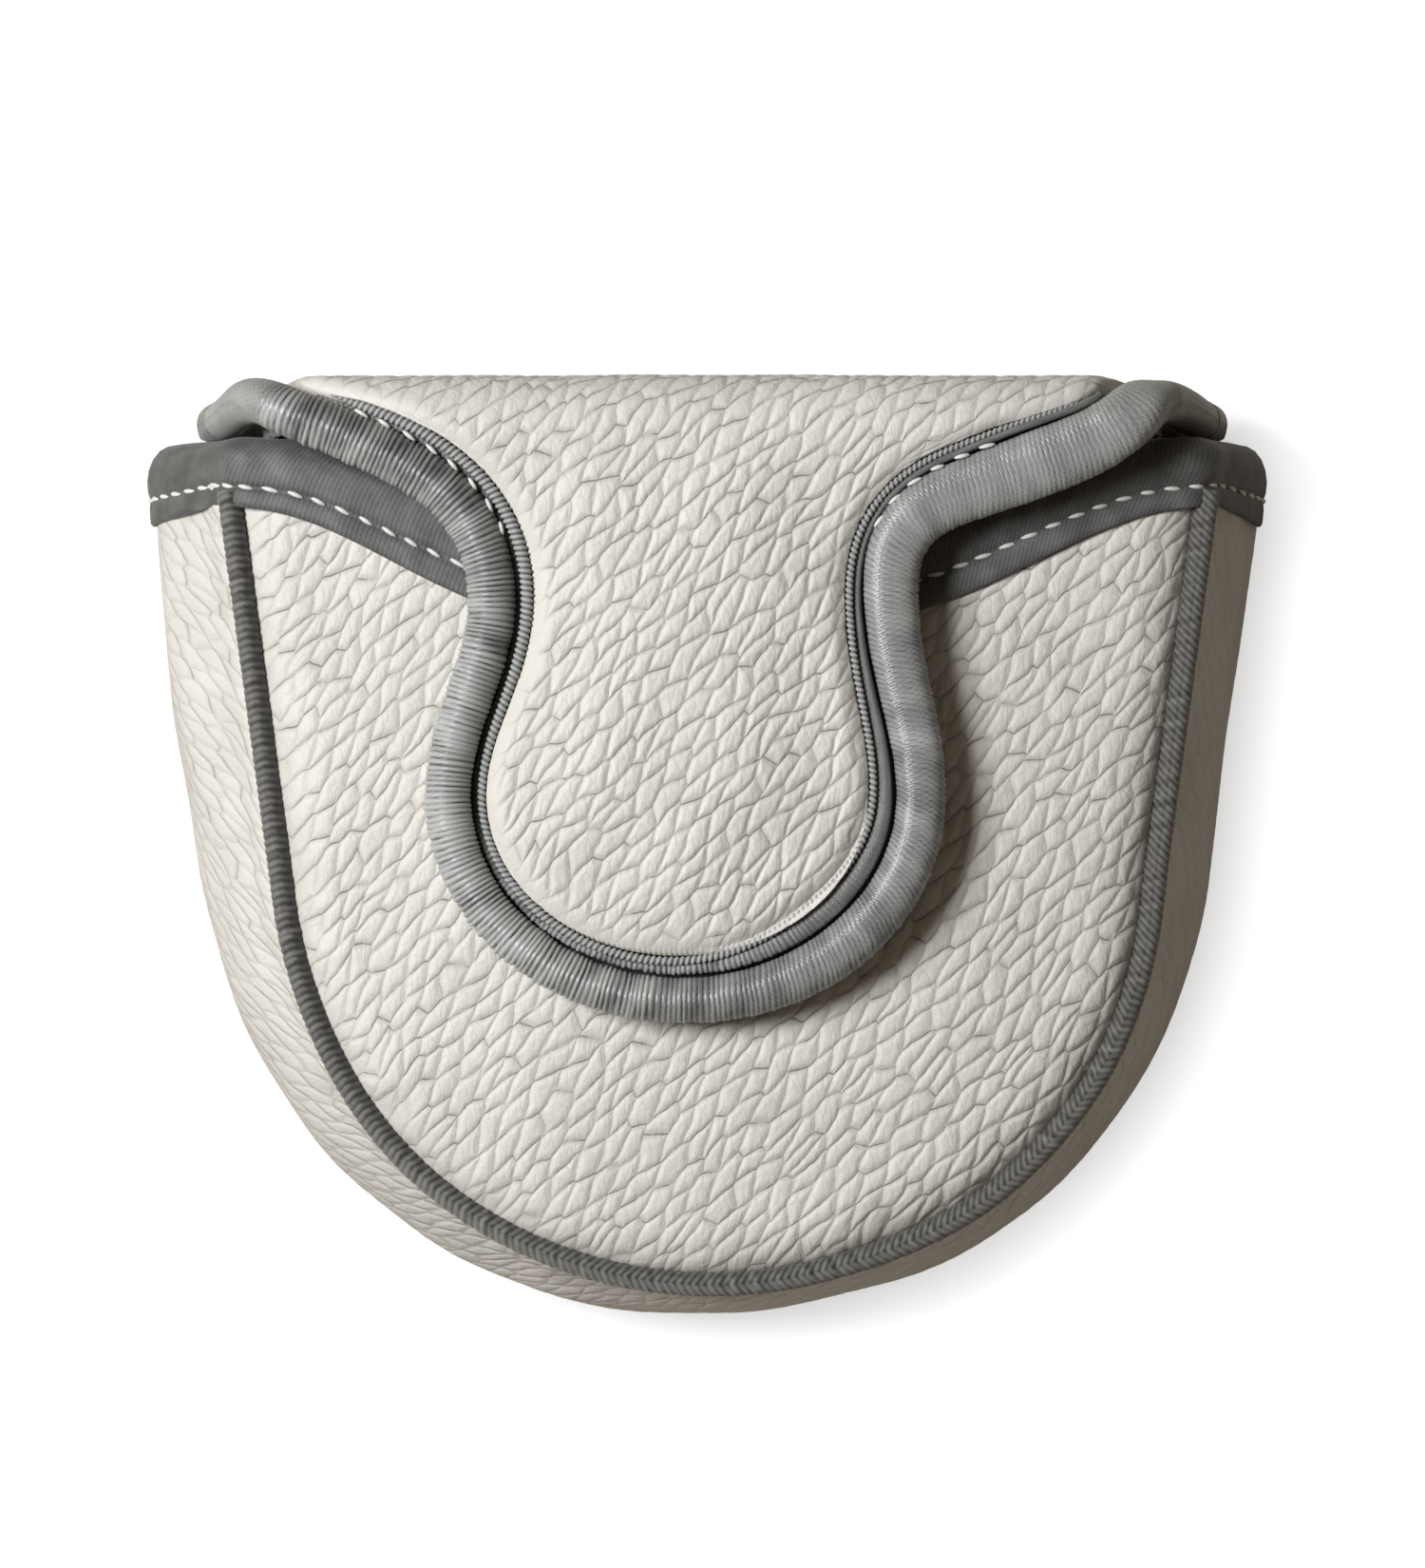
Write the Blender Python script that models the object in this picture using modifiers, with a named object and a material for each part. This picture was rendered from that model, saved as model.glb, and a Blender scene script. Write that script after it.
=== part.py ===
"""Putter head cover: a padded D-shaped pouch whose back panel runs on into a bridge and a tongue flap.

The cover lies on its back panel. +X runs across it, +Y points to the fold edge above the mouth and
+Z points out of the front panel. The origin is the middle of the footprint, on the resting plane.
"""

import math

import bmesh
import bpy
from mathutils import Vector

MM = 0.001

# Walls: leather, foam and plush lining, with the clearance kept between neighbours
LEATHER = 1.0 * MM
FOAM = 3.0 * MM
LINING = 1.3 * MM
FLAP_FOAM = 2.4 * MM
FLAP_LINING = 1.0 * MM
GAP = 0.35 * MM

# Front seam, seen from the front: a round bottom with straight sides that flare towards the mouth
SEAM_RADIUS = 55.0 * MM
SEAM_CENTRE_Y = 0.5 * MM
SEAM_FLARE = math.radians(7.8)
# Widest line of the gusset, half way up
BULGE_RADIUS = 61.0 * MM
BULGE_CENTRE_Y = 2.9 * MM
BULGE_FLARE = math.radians(9.2)
ARC_SHARE = 0.6
GUSSET_FILL_END = 0.985

# Heights
FRONT_PIPING_Z = 34.2 * MM
BACK_PIPING_Z = 2.2 * MM
FRONT_EDGE_Z = 34.8 * MM
CROWN = 5.0 * MM
MOUTH_DIP = 0.3
PIPING_RADIUS = 1.6 * MM
PIPING_WALL = 0.4 * MM
PIPING_CORE_RADIUS = 0.8 * MM
PANEL_INSET = PIPING_RADIUS + GAP

# Mouth: the scooped edge of the front panel and the flat ends of the gusset
MOUTH_CORNER_Y = 49.6 * MM
MOUTH_SCOOP = 16.0 * MM
MOUTH_HALF_WIDTH = 60.0 * MM
MOUTH_POWER = 1.5
TAPE = 0.8 * MM
TAPE_GAP = 0.5 * MM
TAPE_DEPTH = 10.5 * MM

# Fold line: two rounded corners joined by the bridge
FOLD_Y = 58.1 * MM
FOLD_RADIUS = 7.0 * MM
FLAP_TOP_Z = 45.6 * MM
FOLD_CENTRE_Y = FOLD_Y - FOLD_RADIUS
LOW_CENTRE_Z = FOLD_RADIUS
HIGH_CENTRE_Z = FLAP_TOP_Z - FOLD_RADIUS
PIVOT_OUT = FOLD_RADIUS * (1 - math.cos(math.radians(45)))
SPINE_PIVOT = (0.0, FOLD_Y - PIVOT_OUT, PIVOT_OUT)
FLAP_PIVOT = (0.0, FOLD_Y - PIVOT_OUT, FLAP_TOP_Z - PIVOT_OUT)
FOLD_SLIT = math.radians(4.0)

# Flap outline, measured to the outside of its rolled edge
WING_HALF_WIDTH = 60.6 * MM
WING_Y = 49.5 * MM
NECK_HALF_WIDTH = 28.2 * MM
NECK_Y = 34.0 * MM
NECK_POWER = 2.6
BULB_HALF_WIDTH = 32.4 * MM
BULB_LENGTH = 28.4 * MM
BULB_Y = 6.0 * MM
LEAN_AT_FOLD = -0.9 * MM
LEAN_AT_BULB = -3.4 * MM

# Rolled edge of the flap and bridge, and the thin cord beside it
ROLL_RADIUS = 3.2 * MM
ROLL_WALL = 0.7 * MM
ROLL_CORE_RADIUS = 2.0 * MM
ROLL_DEPTH = 1.6 * MM
FLAP_INSET = 2 * ROLL_RADIUS + GAP
CORD_RADIUS = 0.8 * MM
CORD_INSET = 7.8 * MM

# Hidden disc magnets
MAGNET_RADIUS = 6.0 * MM
MAGNET_THICKNESS = 2.0 * MM
MAGNET_SPACING = 26.0 * MM
MAGNET_Y = 2.0 * MM


def collection(name):
    made = bpy.data.collections.new(name)
    bpy.context.scene.collection.children.link(made)
    return made


def material(name, colour, roughness, metallic=0.0):
    made = bpy.data.materials.new(name)
    made.use_nodes = True
    shader = made.node_tree.nodes["Principled BSDF"]
    shader.inputs["Base Color"].default_value = (*colour, 1.0)
    shader.inputs["Roughness"].default_value = roughness
    shader.inputs["Metallic"].default_value = metallic
    return made


def lerp(a, b, share):
    return a + (b - a) * share


def shares(count, start=0.0, end=1.0):
    """Evenly spaced values from start to end."""
    return [lerp(start, end, i / (count - 1)) for i in range(count)]


def link(name, data, look):
    """A new object in the cover's collection with its own material."""
    made = bpy.data.objects.new(name, data)
    data.materials.append(look)
    COVER.objects.link(made)
    return made


def sheet(name, rows, thickness, look, side=-1):
    """An open grid through the rows of points, thickened to one side of its normals."""
    mesh = bpy.data.meshes.new(name)
    width = len(rows[0])
    points = [point for row in rows for point in row]
    faces = []
    for i in range(len(rows) - 1):
        for j in range(width - 1):
            corner = i * width + j
            faces.append((corner, corner + 1, corner + width + 1, corner + width))
    mesh.from_pydata(points, [], faces)
    mesh.shade_smooth()
    made = link(name, mesh, look)
    thicken = made.modifiers.new("thickness", "SOLIDIFY")
    thicken.thickness = thickness
    thicken.offset = side
    thicken.use_even_offset = True
    return made


def tube(name, points, radius, look, resolution=2, wall=0.0):
    """A round cord through the points, or an open-ended sleeve where a wall is given."""
    curve = bpy.data.curves.new(name, "CURVE")
    curve.dimensions = "3D"
    curve.bevel_depth = radius
    curve.bevel_resolution = resolution
    curve.use_fill_caps = wall == 0.0
    spline = curve.splines.new("POLY")
    spline.points.add(len(points) - 1)
    for place, point in zip(spline.points, points, strict=True):
        place.co = (*point, 1.0)
    made = link(name, curve, look)
    if wall:
        thicken = made.modifiers.new("wall", "SOLIDIFY")
        thicken.thickness = wall
        thicken.offset = -1
    return made


def disc(name, place, radius, thickness, look):
    """An upright cylinder centred on the place."""
    mesh = bpy.data.meshes.new(name)
    form = bmesh.new()
    bmesh.ops.create_cone(
        form, cap_ends=True, segments=24, radius1=radius, radius2=radius, depth=thickness
    )
    form.to_mesh(mesh)
    form.free()
    mesh.shade_smooth()
    mesh.set_sharp_from_angle(angle=math.radians(40))
    made = link(name, mesh, look)
    made.location = place
    return made


def pocket(piece, name, place):
    """A round pocket for a magnet, cut right through the foam."""
    mesh = bpy.data.meshes.new(name)
    form = bmesh.new()
    bmesh.ops.create_cone(
        form,
        cap_ends=True,
        segments=24,
        radius1=MAGNET_RADIUS + GAP,
        radius2=MAGNET_RADIUS + GAP,
        depth=4 * FOAM,
    )
    form.to_mesh(mesh)
    form.free()
    cutter = bpy.data.objects.new(name, mesh)
    cutter.location = place
    cutter.hide_render = True
    cutter.display_type = "WIRE"
    CUTTERS.objects.link(cutter)
    cut = piece.modifiers.new("pocket", "BOOLEAN")
    cut.operation = "DIFFERENCE"
    cut.object = cutter
    cut.solver = "EXACT"


def hinge(name, place):
    """An empty on a fold line, which the moving pieces hang from."""
    made = bpy.data.objects.new(name, None)
    made.location = place
    COVER.objects.link(made)
    return made


def hang(pieces, parent):
    """Parents the pieces to a hinge without moving them."""
    bpy.context.view_layer.update()
    for piece in pieces:
        piece.parent = parent
        piece.matrix_parent_inverse = parent.matrix_world.inverted()


# --- Pouch ---------------------------------------------------------------------------------------


def outline(radius, centre_y, flare, top_y, t):
    """A point and its outward direction on a flared U; t runs -1..1, left mouth to right mouth."""
    side = -1.0 if t < 0 else 1.0
    reach = abs(t)
    if reach <= ARC_SHARE:
        angle = (math.pi / 2 - flare) * reach / ARC_SHARE
        x = radius * math.sin(angle)
        y = centre_y - radius * math.cos(angle)
        return Vector((side * x, y, 0)), Vector((side * math.sin(angle), -math.cos(angle), 0))
    start_y = centre_y - radius * math.sin(flare)
    rise = (top_y - start_y) * (reach - ARC_SHARE) / (1 - ARC_SHARE)
    x = radius * math.cos(flare) + rise * math.tan(flare)
    return Vector((side * x, start_y + rise, 0)), Vector(
        (side * math.cos(flare), -math.sin(flare), 0)
    )


def seam(t, inset=0.0, top_y=MOUTH_CORNER_Y):
    """A point on the seam line, moved in by the inset."""
    return outline(SEAM_RADIUS - inset, SEAM_CENTRE_Y, SEAM_FLARE, top_y, t)[0]


def seam_half_width(y, inset=0.0):
    """Half the width between the seams at a height up the panel."""
    radius = SEAM_RADIUS - inset
    tangent_y = SEAM_CENTRE_Y - radius * math.sin(SEAM_FLARE)
    if y > tangent_y:
        return radius * math.cos(SEAM_FLARE) + (y - tangent_y) * math.tan(SEAM_FLARE)
    return math.sqrt(max(0.0, radius**2 - (y - SEAM_CENTRE_Y) ** 2))


def mouth_y(x):
    """Scooped edge of the front panel, lowest in the middle."""
    share = min(1.0, abs(x) / MOUTH_HALF_WIDTH)
    return MOUTH_CORNER_Y - MOUTH_SCOOP * (1 - share**MOUTH_POWER)


def front_z(x, y):
    """Height of the crowned front panel."""
    radius = SEAM_RADIUS - PANEL_INSET
    if y > SEAM_CENTRE_Y:
        share = abs(x) / seam_half_width(y, PANEL_INSET)
    else:
        share = math.hypot(x, y - SEAM_CENTRE_Y) / radius
    rise = CROWN * (1 - min(1.0, share) ** 3.5)
    up = min(1.0, max(0.0, (y - 10 * MM) / (25 * MM)))
    return FRONT_EDGE_Z + rise * (1 - MOUTH_DIP * up * up * (3 - 2 * up))


def front_rows(depth, inset, mouth_back, columns=9):
    """Rows of points across the front panel, from its round bottom up to the scooped mouth."""
    rows = []
    across = shares(columns, -1.0, 1.0)
    lower = [math.radians(angle) for angle in (9, 24, 40, 56, 73)]
    for angle in lower:
        radius = SEAM_RADIUS - inset
        y = SEAM_CENTRE_Y - radius * math.cos(angle)
        rows.append([(radius * math.sin(angle) * u, y) for u in across])
    for v in shares(7):
        row = []
        for u in across:
            top = mouth_y(u * MOUTH_HALF_WIDTH) - mouth_back
            y = lerp(SEAM_CENTRE_Y, top, v)
            row.append((u * seam_half_width(y, inset), y))
        rows.append(row)
    return [[Vector((x, y, front_z(x, y) - depth)) for x, y in row] for row in rows]


def back_rows(depth, inset, top_y, fold=False):
    """Rows of points across the flat back panel; the leather goes on into the lower fold."""
    rows = []
    across = shares(5, -1.0, 1.0)
    radius = SEAM_RADIUS - inset
    for angle in [math.radians(a) for a in (9, 22, 36, 50, 64, 78)]:
        y = SEAM_CENTRE_Y - radius * math.cos(angle)
        rows.append([Vector((radius * math.sin(angle) * u, y, depth)) for u in across])
    for y in shares(4, SEAM_CENTRE_Y, top_y):
        rows.append([Vector((seam_half_width(y, inset) * u, y, depth)) for u in across])
    if fold:
        half = seam_half_width(top_y, inset)
        for angle in shares(4, 0.0, math.pi / 4 - FOLD_SLIT)[1:]:
            y, z = low_fold(angle, depth)
            rows.append([Vector((half * u, y, z)) for u in across])
    return rows


def gusset_base(t, w):
    """A point on the outside of the gusset; w runs 0..1 from the back seam to the front seam."""
    bulge = 1 - (2 * w - 1) ** 2
    place = outline(
        lerp(SEAM_RADIUS, BULGE_RADIUS, bulge),
        lerp(SEAM_CENTRE_Y, BULGE_CENTRE_Y, bulge),
        lerp(SEAM_FLARE, BULGE_FLARE, bulge),
        MOUTH_CORNER_Y,
        t,
    )[0]
    low = BACK_PIPING_Z + PIPING_RADIUS + GAP
    high = FRONT_PIPING_Z - PIPING_RADIUS - GAP
    place.z = lerp(low, high, w)
    return place


def gusset_point(t, w, depth):
    """A point inside the gusset, the depth below its outside."""
    step = 0.01
    up = gusset_base(t, min(1.0, w + step)) - gusset_base(t, max(0.0, w - step))
    out = outline(SEAM_RADIUS, SEAM_CENTRE_Y, SEAM_FLARE, MOUTH_CORNER_Y, t)[1]
    along = Vector((-out.y, out.x, 0))
    normal = along.cross(up).normalized()
    return gusset_base(t, w) - normal * depth


def gusset_rows(depth, low, high, count, end=1.0):
    """Rows of points round the gusset, from the left end of the mouth to the right end."""
    stations = shares(5, -end, -ARC_SHARE)[:-1] + shares(23, -ARC_SHARE, ARC_SHARE)
    stations += shares(5, ARC_SHARE, end)[1:]
    return [[gusset_point(t, w, depth) for w in shares(count, low, high)] for t in stations]


def mouth_binding(look):
    """Tape over the edge of the mouth: an outer band and a lip that closes the edge of the wall."""
    wall = LEATHER + FOAM + LINING + 2 * GAP
    lip_y = TAPE_GAP

    def section(band, corner, lip):
        return [band, corner, lip]

    def gusset_section(side, w):
        outer = gusset_point(side, w, -TAPE_GAP - TAPE)
        inner = gusset_point(side, 0.1 + 0.7 * w, wall)
        share = TAPE_DEPTH / (MOUTH_CORNER_Y + 8 * MM)
        lower = gusset_point(side * (1 - share * (1 - ARC_SHARE)), w, -TAPE_GAP - TAPE)
        top = MOUTH_CORNER_Y + lip_y + TAPE
        return section(
            lower, Vector((outer.x, top, outer.z)), Vector((inner.x, top, inner.z))
        )

    def front_section(x):
        half = seam_half_width(MOUTH_CORNER_Y, 0)
        edge = mouth_y(x)
        top = edge + lip_y + TAPE
        low = edge - TAPE_DEPTH
        rise = TAPE_GAP + TAPE
        lip_x = x * (1 - (wall + 2 * MM) / half)
        corner = Vector((x, top, front_z(x, edge) + rise))
        lip = Vector((lip_x, top, front_z(x, edge) - wall))
        return section(Vector((x, low, front_z(x, low) + rise)), corner, lip)

    def corner_section(side):
        turn = PIPING_RADIUS + TAPE_GAP
        top = MOUTH_CORNER_Y + lip_y + TAPE
        low = MOUTH_CORNER_Y - TAPE_DEPTH
        z = FRONT_PIPING_Z + turn
        edge_x = side * (seam_half_width(top) + turn)
        low_x = side * (seam_half_width(low) + turn)
        lip_x = side * (seam_half_width(top) - wall - MM)
        lip = Vector((lip_x, top, FRONT_EDGE_Z - wall))
        return section(Vector((low_x, low, z)), Vector((edge_x, top, z)), lip)

    heights = shares(9, 0.06, 0.94)
    half = MOUTH_HALF_WIDTH
    rows = [gusset_section(-1.0, w) for w in heights]
    rows += [corner_section(-1.0)]
    rows += [front_section(x) for x in shares(21, -half, half)]
    rows += [corner_section(1.0)]
    rows += [gusset_section(1.0, w) for w in reversed(heights)]
    return sheet("mouth_binding", rows, TAPE, look, side=1)


# --- Bridge and flap -----------------------------------------------------------------------------


def low_fold(angle, depth):
    """Round the lower corner: 0 where it leaves the back panel, 90 degrees where it turns upright."""
    radius = FOLD_RADIUS - depth
    return FOLD_CENTRE_Y + radius * math.sin(angle), LOW_CENTRE_Z - radius * math.cos(angle)


def high_fold(angle, depth):
    """Round the upper corner: 0 on the bridge, 90 degrees where the flap lies level."""
    radius = FOLD_RADIUS - depth
    return FOLD_CENTRE_Y + radius * math.cos(angle), HIGH_CENTRE_Z + radius * math.sin(angle)


def flap_place(run, depth):
    """Height and length on the flap; past the start of the fold the run bends with the corner."""
    if run <= FOLD_CENTRE_Y:
        return run, FLAP_TOP_Z - depth
    return high_fold(math.pi / 2 - (run - FOLD_CENTRE_Y) / FOLD_RADIUS, depth)


def flap_half_width(run, inset):
    """Half the flap's width: wings at the fold, a narrow neck, then a round bulb."""
    neck = NECK_HALF_WIDTH - inset
    bulb = BULB_HALF_WIDTH - inset
    if run > NECK_Y:
        share = min(1.0, (run - NECK_Y) / (WING_Y + inset - NECK_Y))
        return lerp(neck, WING_HALF_WIDTH - inset, share**NECK_POWER)
    if run > BULB_Y:
        share = (run - BULB_Y) / (NECK_Y - BULB_Y)
        return lerp(bulb, neck, share * share * (3 - 2 * share))
    return bulb * math.sqrt(max(0.0, 1 - ((BULB_Y - run) / (BULB_LENGTH - inset)) ** 2))


def flap_lean(run):
    """The flap's middle line leans a little to the left towards the bulb."""
    share = min(1.0, max(0.0, (FOLD_CENTRE_Y - run) / (FOLD_CENTRE_Y - BULB_Y)))
    return lerp(LEAN_AT_FOLD, LEAN_AT_BULB, share)


def flap_rows(depth, inset, first):
    """Rows of points across the flap, from the fold to the end of the bulb."""
    runs = shares(8, first, NECK_Y) + shares(5, NECK_Y, BULB_Y)[1:]
    runs += [BULB_Y - (BULB_LENGTH - inset) * math.sin(math.radians(a)) for a in (16, 32, 48, 64, 80)]
    rows = []
    for run in runs:
        y, z = flap_place(run, depth)
        half = flap_half_width(run, inset)
        rows.append([Vector((flap_lean(run) + half * u, y, z)) for u in shares(4, -1.0, 1.0)])
    return rows


def flap_edge(inset, depth, first):
    """The line along the flap's edge, from the left wing round the bulb to the right wing."""
    right = shares(9, first, NECK_Y) + shares(5, NECK_Y, BULB_Y)[1:]
    tail = [math.radians(angle) for angle in shares(5, 15.0, 75.0)]
    right += [BULB_Y - (BULB_LENGTH - inset) * math.sin(angle) for angle in tail]
    points = []
    for run in right:
        y, z = flap_place(run, depth)
        points.append(Vector((flap_half_width(run, inset), y, z)))
    y, z = flap_place(BULB_Y - (BULB_LENGTH - inset), depth)
    whole = [Vector((-p.x, p.y, p.z)) for p in points]
    whole += [Vector((0, y, z))]
    whole += list(reversed(points))
    return [Vector((p.x + flap_lean(p.y), p.y, p.z)) for p in whole]


def bridge_rows(depth, half, folds):
    """Rows of points up the bridge; the leather takes in half of each rounded corner."""
    profile = []
    if folds:
        profile += [low_fold(a, depth) for a in shares(4, math.pi / 4 + FOLD_SLIT, math.pi / 2)]
        profile += [high_fold(a, depth) for a in shares(4, 0.0, math.pi / 4 - FOLD_SLIT)]
    else:
        y = FOLD_Y - depth
        profile += [(y, LOW_CENTRE_Z + GAP), (y, HIGH_CENTRE_Z - GAP)]
    across = shares(5, -1.0, 1.0)
    return [[Vector((LEAN_AT_FOLD + half * u, y, z)) for u in across] for y, z in profile]


# --- Assembly ------------------------------------------------------------------------------------


def build_pouch():
    foam_depth = LEATHER + GAP
    front_lining_depth = foam_depth + FOAM + 2 * GAP
    lining_depth = foam_depth + FOAM + GAP
    front = front_rows(0.0, PANEL_INSET, GAP, columns=15)
    sheet("front_panel_leather", front, LEATHER, IVORY)
    foam_inset = PANEL_INSET + 2 * MM
    foam = sheet("front_panel_foam", front_rows(foam_depth, foam_inset, GAP), FOAM, SPONGE)
    lining_rows = front_rows(front_lining_depth, foam_inset + 3 * MM, GAP)
    sheet("front_panel_lining", lining_rows, LINING, PLUSH)
    sheet(
        "back_panel_leather",
        back_rows(0.0, PANEL_INSET, FOLD_CENTRE_Y, fold=True),
        LEATHER,
        IVORY,
        side=1,
    )
    back_top = MOUTH_CORNER_Y
    sheet("back_panel_foam", back_rows(foam_depth, foam_inset, back_top), FOAM, SPONGE, side=1)
    sheet(
        "back_panel_lining",
        back_rows(lining_depth, foam_inset + 3 * MM, back_top),
        LINING,
        PLUSH,
        side=1,
    )
    sheet("gusset_leather", gusset_rows(0.0, 0.0, 1.0, 9), LEATHER, IVORY, side=1)
    sheet("gusset_foam", gusset_rows(foam_depth, 0.1, 0.9, 5, GUSSET_FILL_END), FOAM, SPONGE, side=1)
    sheet("gusset_lining", gusset_rows(lining_depth, 0.14, 0.86, 5, GUSSET_FILL_END), LINING, PLUSH, side=1)
    for side, height, top_y in (
        ("front", FRONT_PIPING_Z, MOUTH_CORNER_Y - TAPE_DEPTH - 2 * MM),
        ("back", BACK_PIPING_Z, MOUTH_CORNER_Y - GAP),
    ):
        line = [seam(t, 0.0, top_y) for t in shares(37, -1.0, 1.0)]
        line = [Vector((p.x, p.y, height)) for p in line]
        tube(f"{side}_piping", line, PIPING_RADIUS, CORDED, wall=PIPING_WALL)
        tube(f"{side}_piping_core", line, PIPING_CORE_RADIUS, SPONGE, resolution=1)
    mouth_binding(RIBBED)
    return foam


def build_bridge():
    roll_x = WING_HALF_WIDTH - ROLL_RADIUS
    half = roll_x - ROLL_RADIUS - GAP
    foam_depth = LEATHER + GAP
    pieces = [
        sheet("bridge_leather", bridge_rows(0.0, half, True), LEATHER, IVORY, side=1),
        sheet("bridge_foam", bridge_rows(foam_depth, half, False), FOAM, SPONGE, side=1),
        sheet(
            "bridge_lining",
            bridge_rows(foam_depth + FOAM + GAP, half, False),
            LINING,
            PLUSH,
            side=1,
        ),
    ]
    for name, side in (("left", -1), ("right", 1)):
        x = LEAN_AT_FOLD + side * roll_x
        y = FOLD_Y - ROLL_RADIUS
        heights = (LOW_CENTRE_Z + GAP, HIGH_CENTRE_Z - GAP)
        line = [Vector((x, y, z)) for z in heights]
        pieces.append(tube(f"bridge_binding_{name}", line, ROLL_RADIUS, RIBBED, wall=ROLL_WALL))
        pieces.append(tube(f"bridge_binding_core_{name}", line, ROLL_CORE_RADIUS, SPONGE))
    return pieces


def build_flap():
    foam_depth = LEATHER + GAP
    first = FOLD_CENTRE_Y + FOLD_RADIUS * (math.pi / 4 - FOLD_SLIT)
    foam = sheet(
        "flap_foam",
        flap_rows(foam_depth, FLAP_INSET, FOLD_CENTRE_Y),
        FLAP_FOAM,
        SPONGE,
        side=1,
    )
    lining_depth = foam_depth + FLAP_FOAM + GAP
    roll = flap_edge(ROLL_RADIUS, ROLL_DEPTH, WING_Y + ROLL_RADIUS)
    cord = flap_edge(CORD_INSET, -GAP - CORD_RADIUS, FOLD_CENTRE_Y + 4 * MM)
    pieces = [
        foam,
        sheet("flap_leather", flap_rows(0.0, FLAP_INSET, first), LEATHER, IVORY, side=1),
        sheet(
            "flap_lining",
            flap_rows(lining_depth, FLAP_INSET, FOLD_CENTRE_Y),
            FLAP_LINING,
            PLUSH,
            side=1,
        ),
        tube("flap_binding", roll, ROLL_RADIUS, RIBBED, wall=ROLL_WALL),
        tube("flap_binding_core", roll, ROLL_CORE_RADIUS, SPONGE),
        tube("flap_edge_cord", cord, CORD_RADIUS, CORDED, resolution=1),
    ]
    return foam, pieces


def build_magnets(pouch_foam, flap_foam):
    """A pair of discs in the flap that meets a pair under the front panel."""
    flap_magnets = []
    flap_z = FLAP_TOP_Z - LEATHER - GAP - FLAP_FOAM / 2
    for name, side in (("left", -1), ("right", 1)):
        x = LEAN_AT_BULB + side * MAGNET_SPACING / 2
        pouch_z = front_z(x, MAGNET_Y) - LEATHER - GAP - FOAM / 2
        pocket(pouch_foam, f"pouch_pocket_{name}", (x, MAGNET_Y, pouch_z))
        disc(
            f"pouch_magnet_{name}",
            (x, MAGNET_Y, pouch_z),
            MAGNET_RADIUS,
            MAGNET_THICKNESS,
            MAGNET,
        )
        pocket(flap_foam, f"flap_pocket_{name}", (x, MAGNET_Y, flap_z))
        flap_magnets.append(
            disc(
                f"flap_magnet_{name}",
                (x, MAGNET_Y, flap_z),
                MAGNET_RADIUS,
                MAGNET_THICKNESS,
                MAGNET,
            )
        )
    return flap_magnets


for old in list(bpy.data.objects):
    bpy.data.objects.remove(old, do_unlink=True)

COVER = collection("putter_head_cover")
CUTTERS = collection("cutters")

IVORY = material("ivory_leather", (0.72, 0.69, 0.64), 0.55)
RIBBED = material("grey_grosgrain", (0.2, 0.21, 0.21), 0.6)
CORDED = material("grey_corded_piping", (0.16, 0.17, 0.16), 0.7)
PLUSH = material("plush_lining", (0.16, 0.16, 0.17), 0.95)
SPONGE = material("padding_foam", (0.75, 0.74, 0.7), 0.9)
MAGNET = material("nickel_magnet", (0.65, 0.65, 0.66), 0.3, 1.0)

spine_fold = hinge("spine_fold", SPINE_PIVOT)
flap_fold = hinge("flap_fold", FLAP_PIVOT)
front_foam = build_pouch()
bridge = build_bridge()
tongue_foam, tongue = build_flap()
tongue += build_magnets(front_foam, tongue_foam)
hang([flap_fold, *bridge], spine_fold)
hang(tongue, flap_fold)
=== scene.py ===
"""Looks of the putter head cover: pebbled leather pads, ribbed rolled edges, corded seams and plush lining.

Shapes are worked out in millimetres with numpy and turned into meshes in metres. The tongue (back panel,
bridge and flap) is drawn flat, as x and a run along its length, and then laid over its two folds.
"""

import math

import bmesh
import bpy
import numpy as np
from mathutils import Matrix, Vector


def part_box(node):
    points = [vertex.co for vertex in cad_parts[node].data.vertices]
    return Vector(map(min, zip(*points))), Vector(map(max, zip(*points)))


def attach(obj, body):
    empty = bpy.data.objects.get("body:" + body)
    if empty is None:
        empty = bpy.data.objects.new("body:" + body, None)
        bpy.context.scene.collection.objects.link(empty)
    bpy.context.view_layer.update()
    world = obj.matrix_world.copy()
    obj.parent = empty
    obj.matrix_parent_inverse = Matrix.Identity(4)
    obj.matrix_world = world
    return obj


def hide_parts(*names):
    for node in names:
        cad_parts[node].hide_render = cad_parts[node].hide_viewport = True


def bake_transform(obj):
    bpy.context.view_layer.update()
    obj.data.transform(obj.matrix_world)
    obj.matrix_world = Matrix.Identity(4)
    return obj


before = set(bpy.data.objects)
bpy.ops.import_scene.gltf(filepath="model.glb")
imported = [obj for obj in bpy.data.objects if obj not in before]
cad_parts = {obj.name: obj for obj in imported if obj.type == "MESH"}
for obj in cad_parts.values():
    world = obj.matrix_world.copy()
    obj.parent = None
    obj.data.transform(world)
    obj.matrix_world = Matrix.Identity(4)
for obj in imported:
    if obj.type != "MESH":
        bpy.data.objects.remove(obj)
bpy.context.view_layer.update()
MM = 0.001
TAU = 2 * math.pi


def box_mm(node):
    """Lowest and highest corner of a CAD node, in millimetres."""
    low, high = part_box(node)
    return np.array(low) / MM, np.array(high) / MM


# --- Sizes read from the CAD parts, in millimetres ------------------------------------------------

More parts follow.
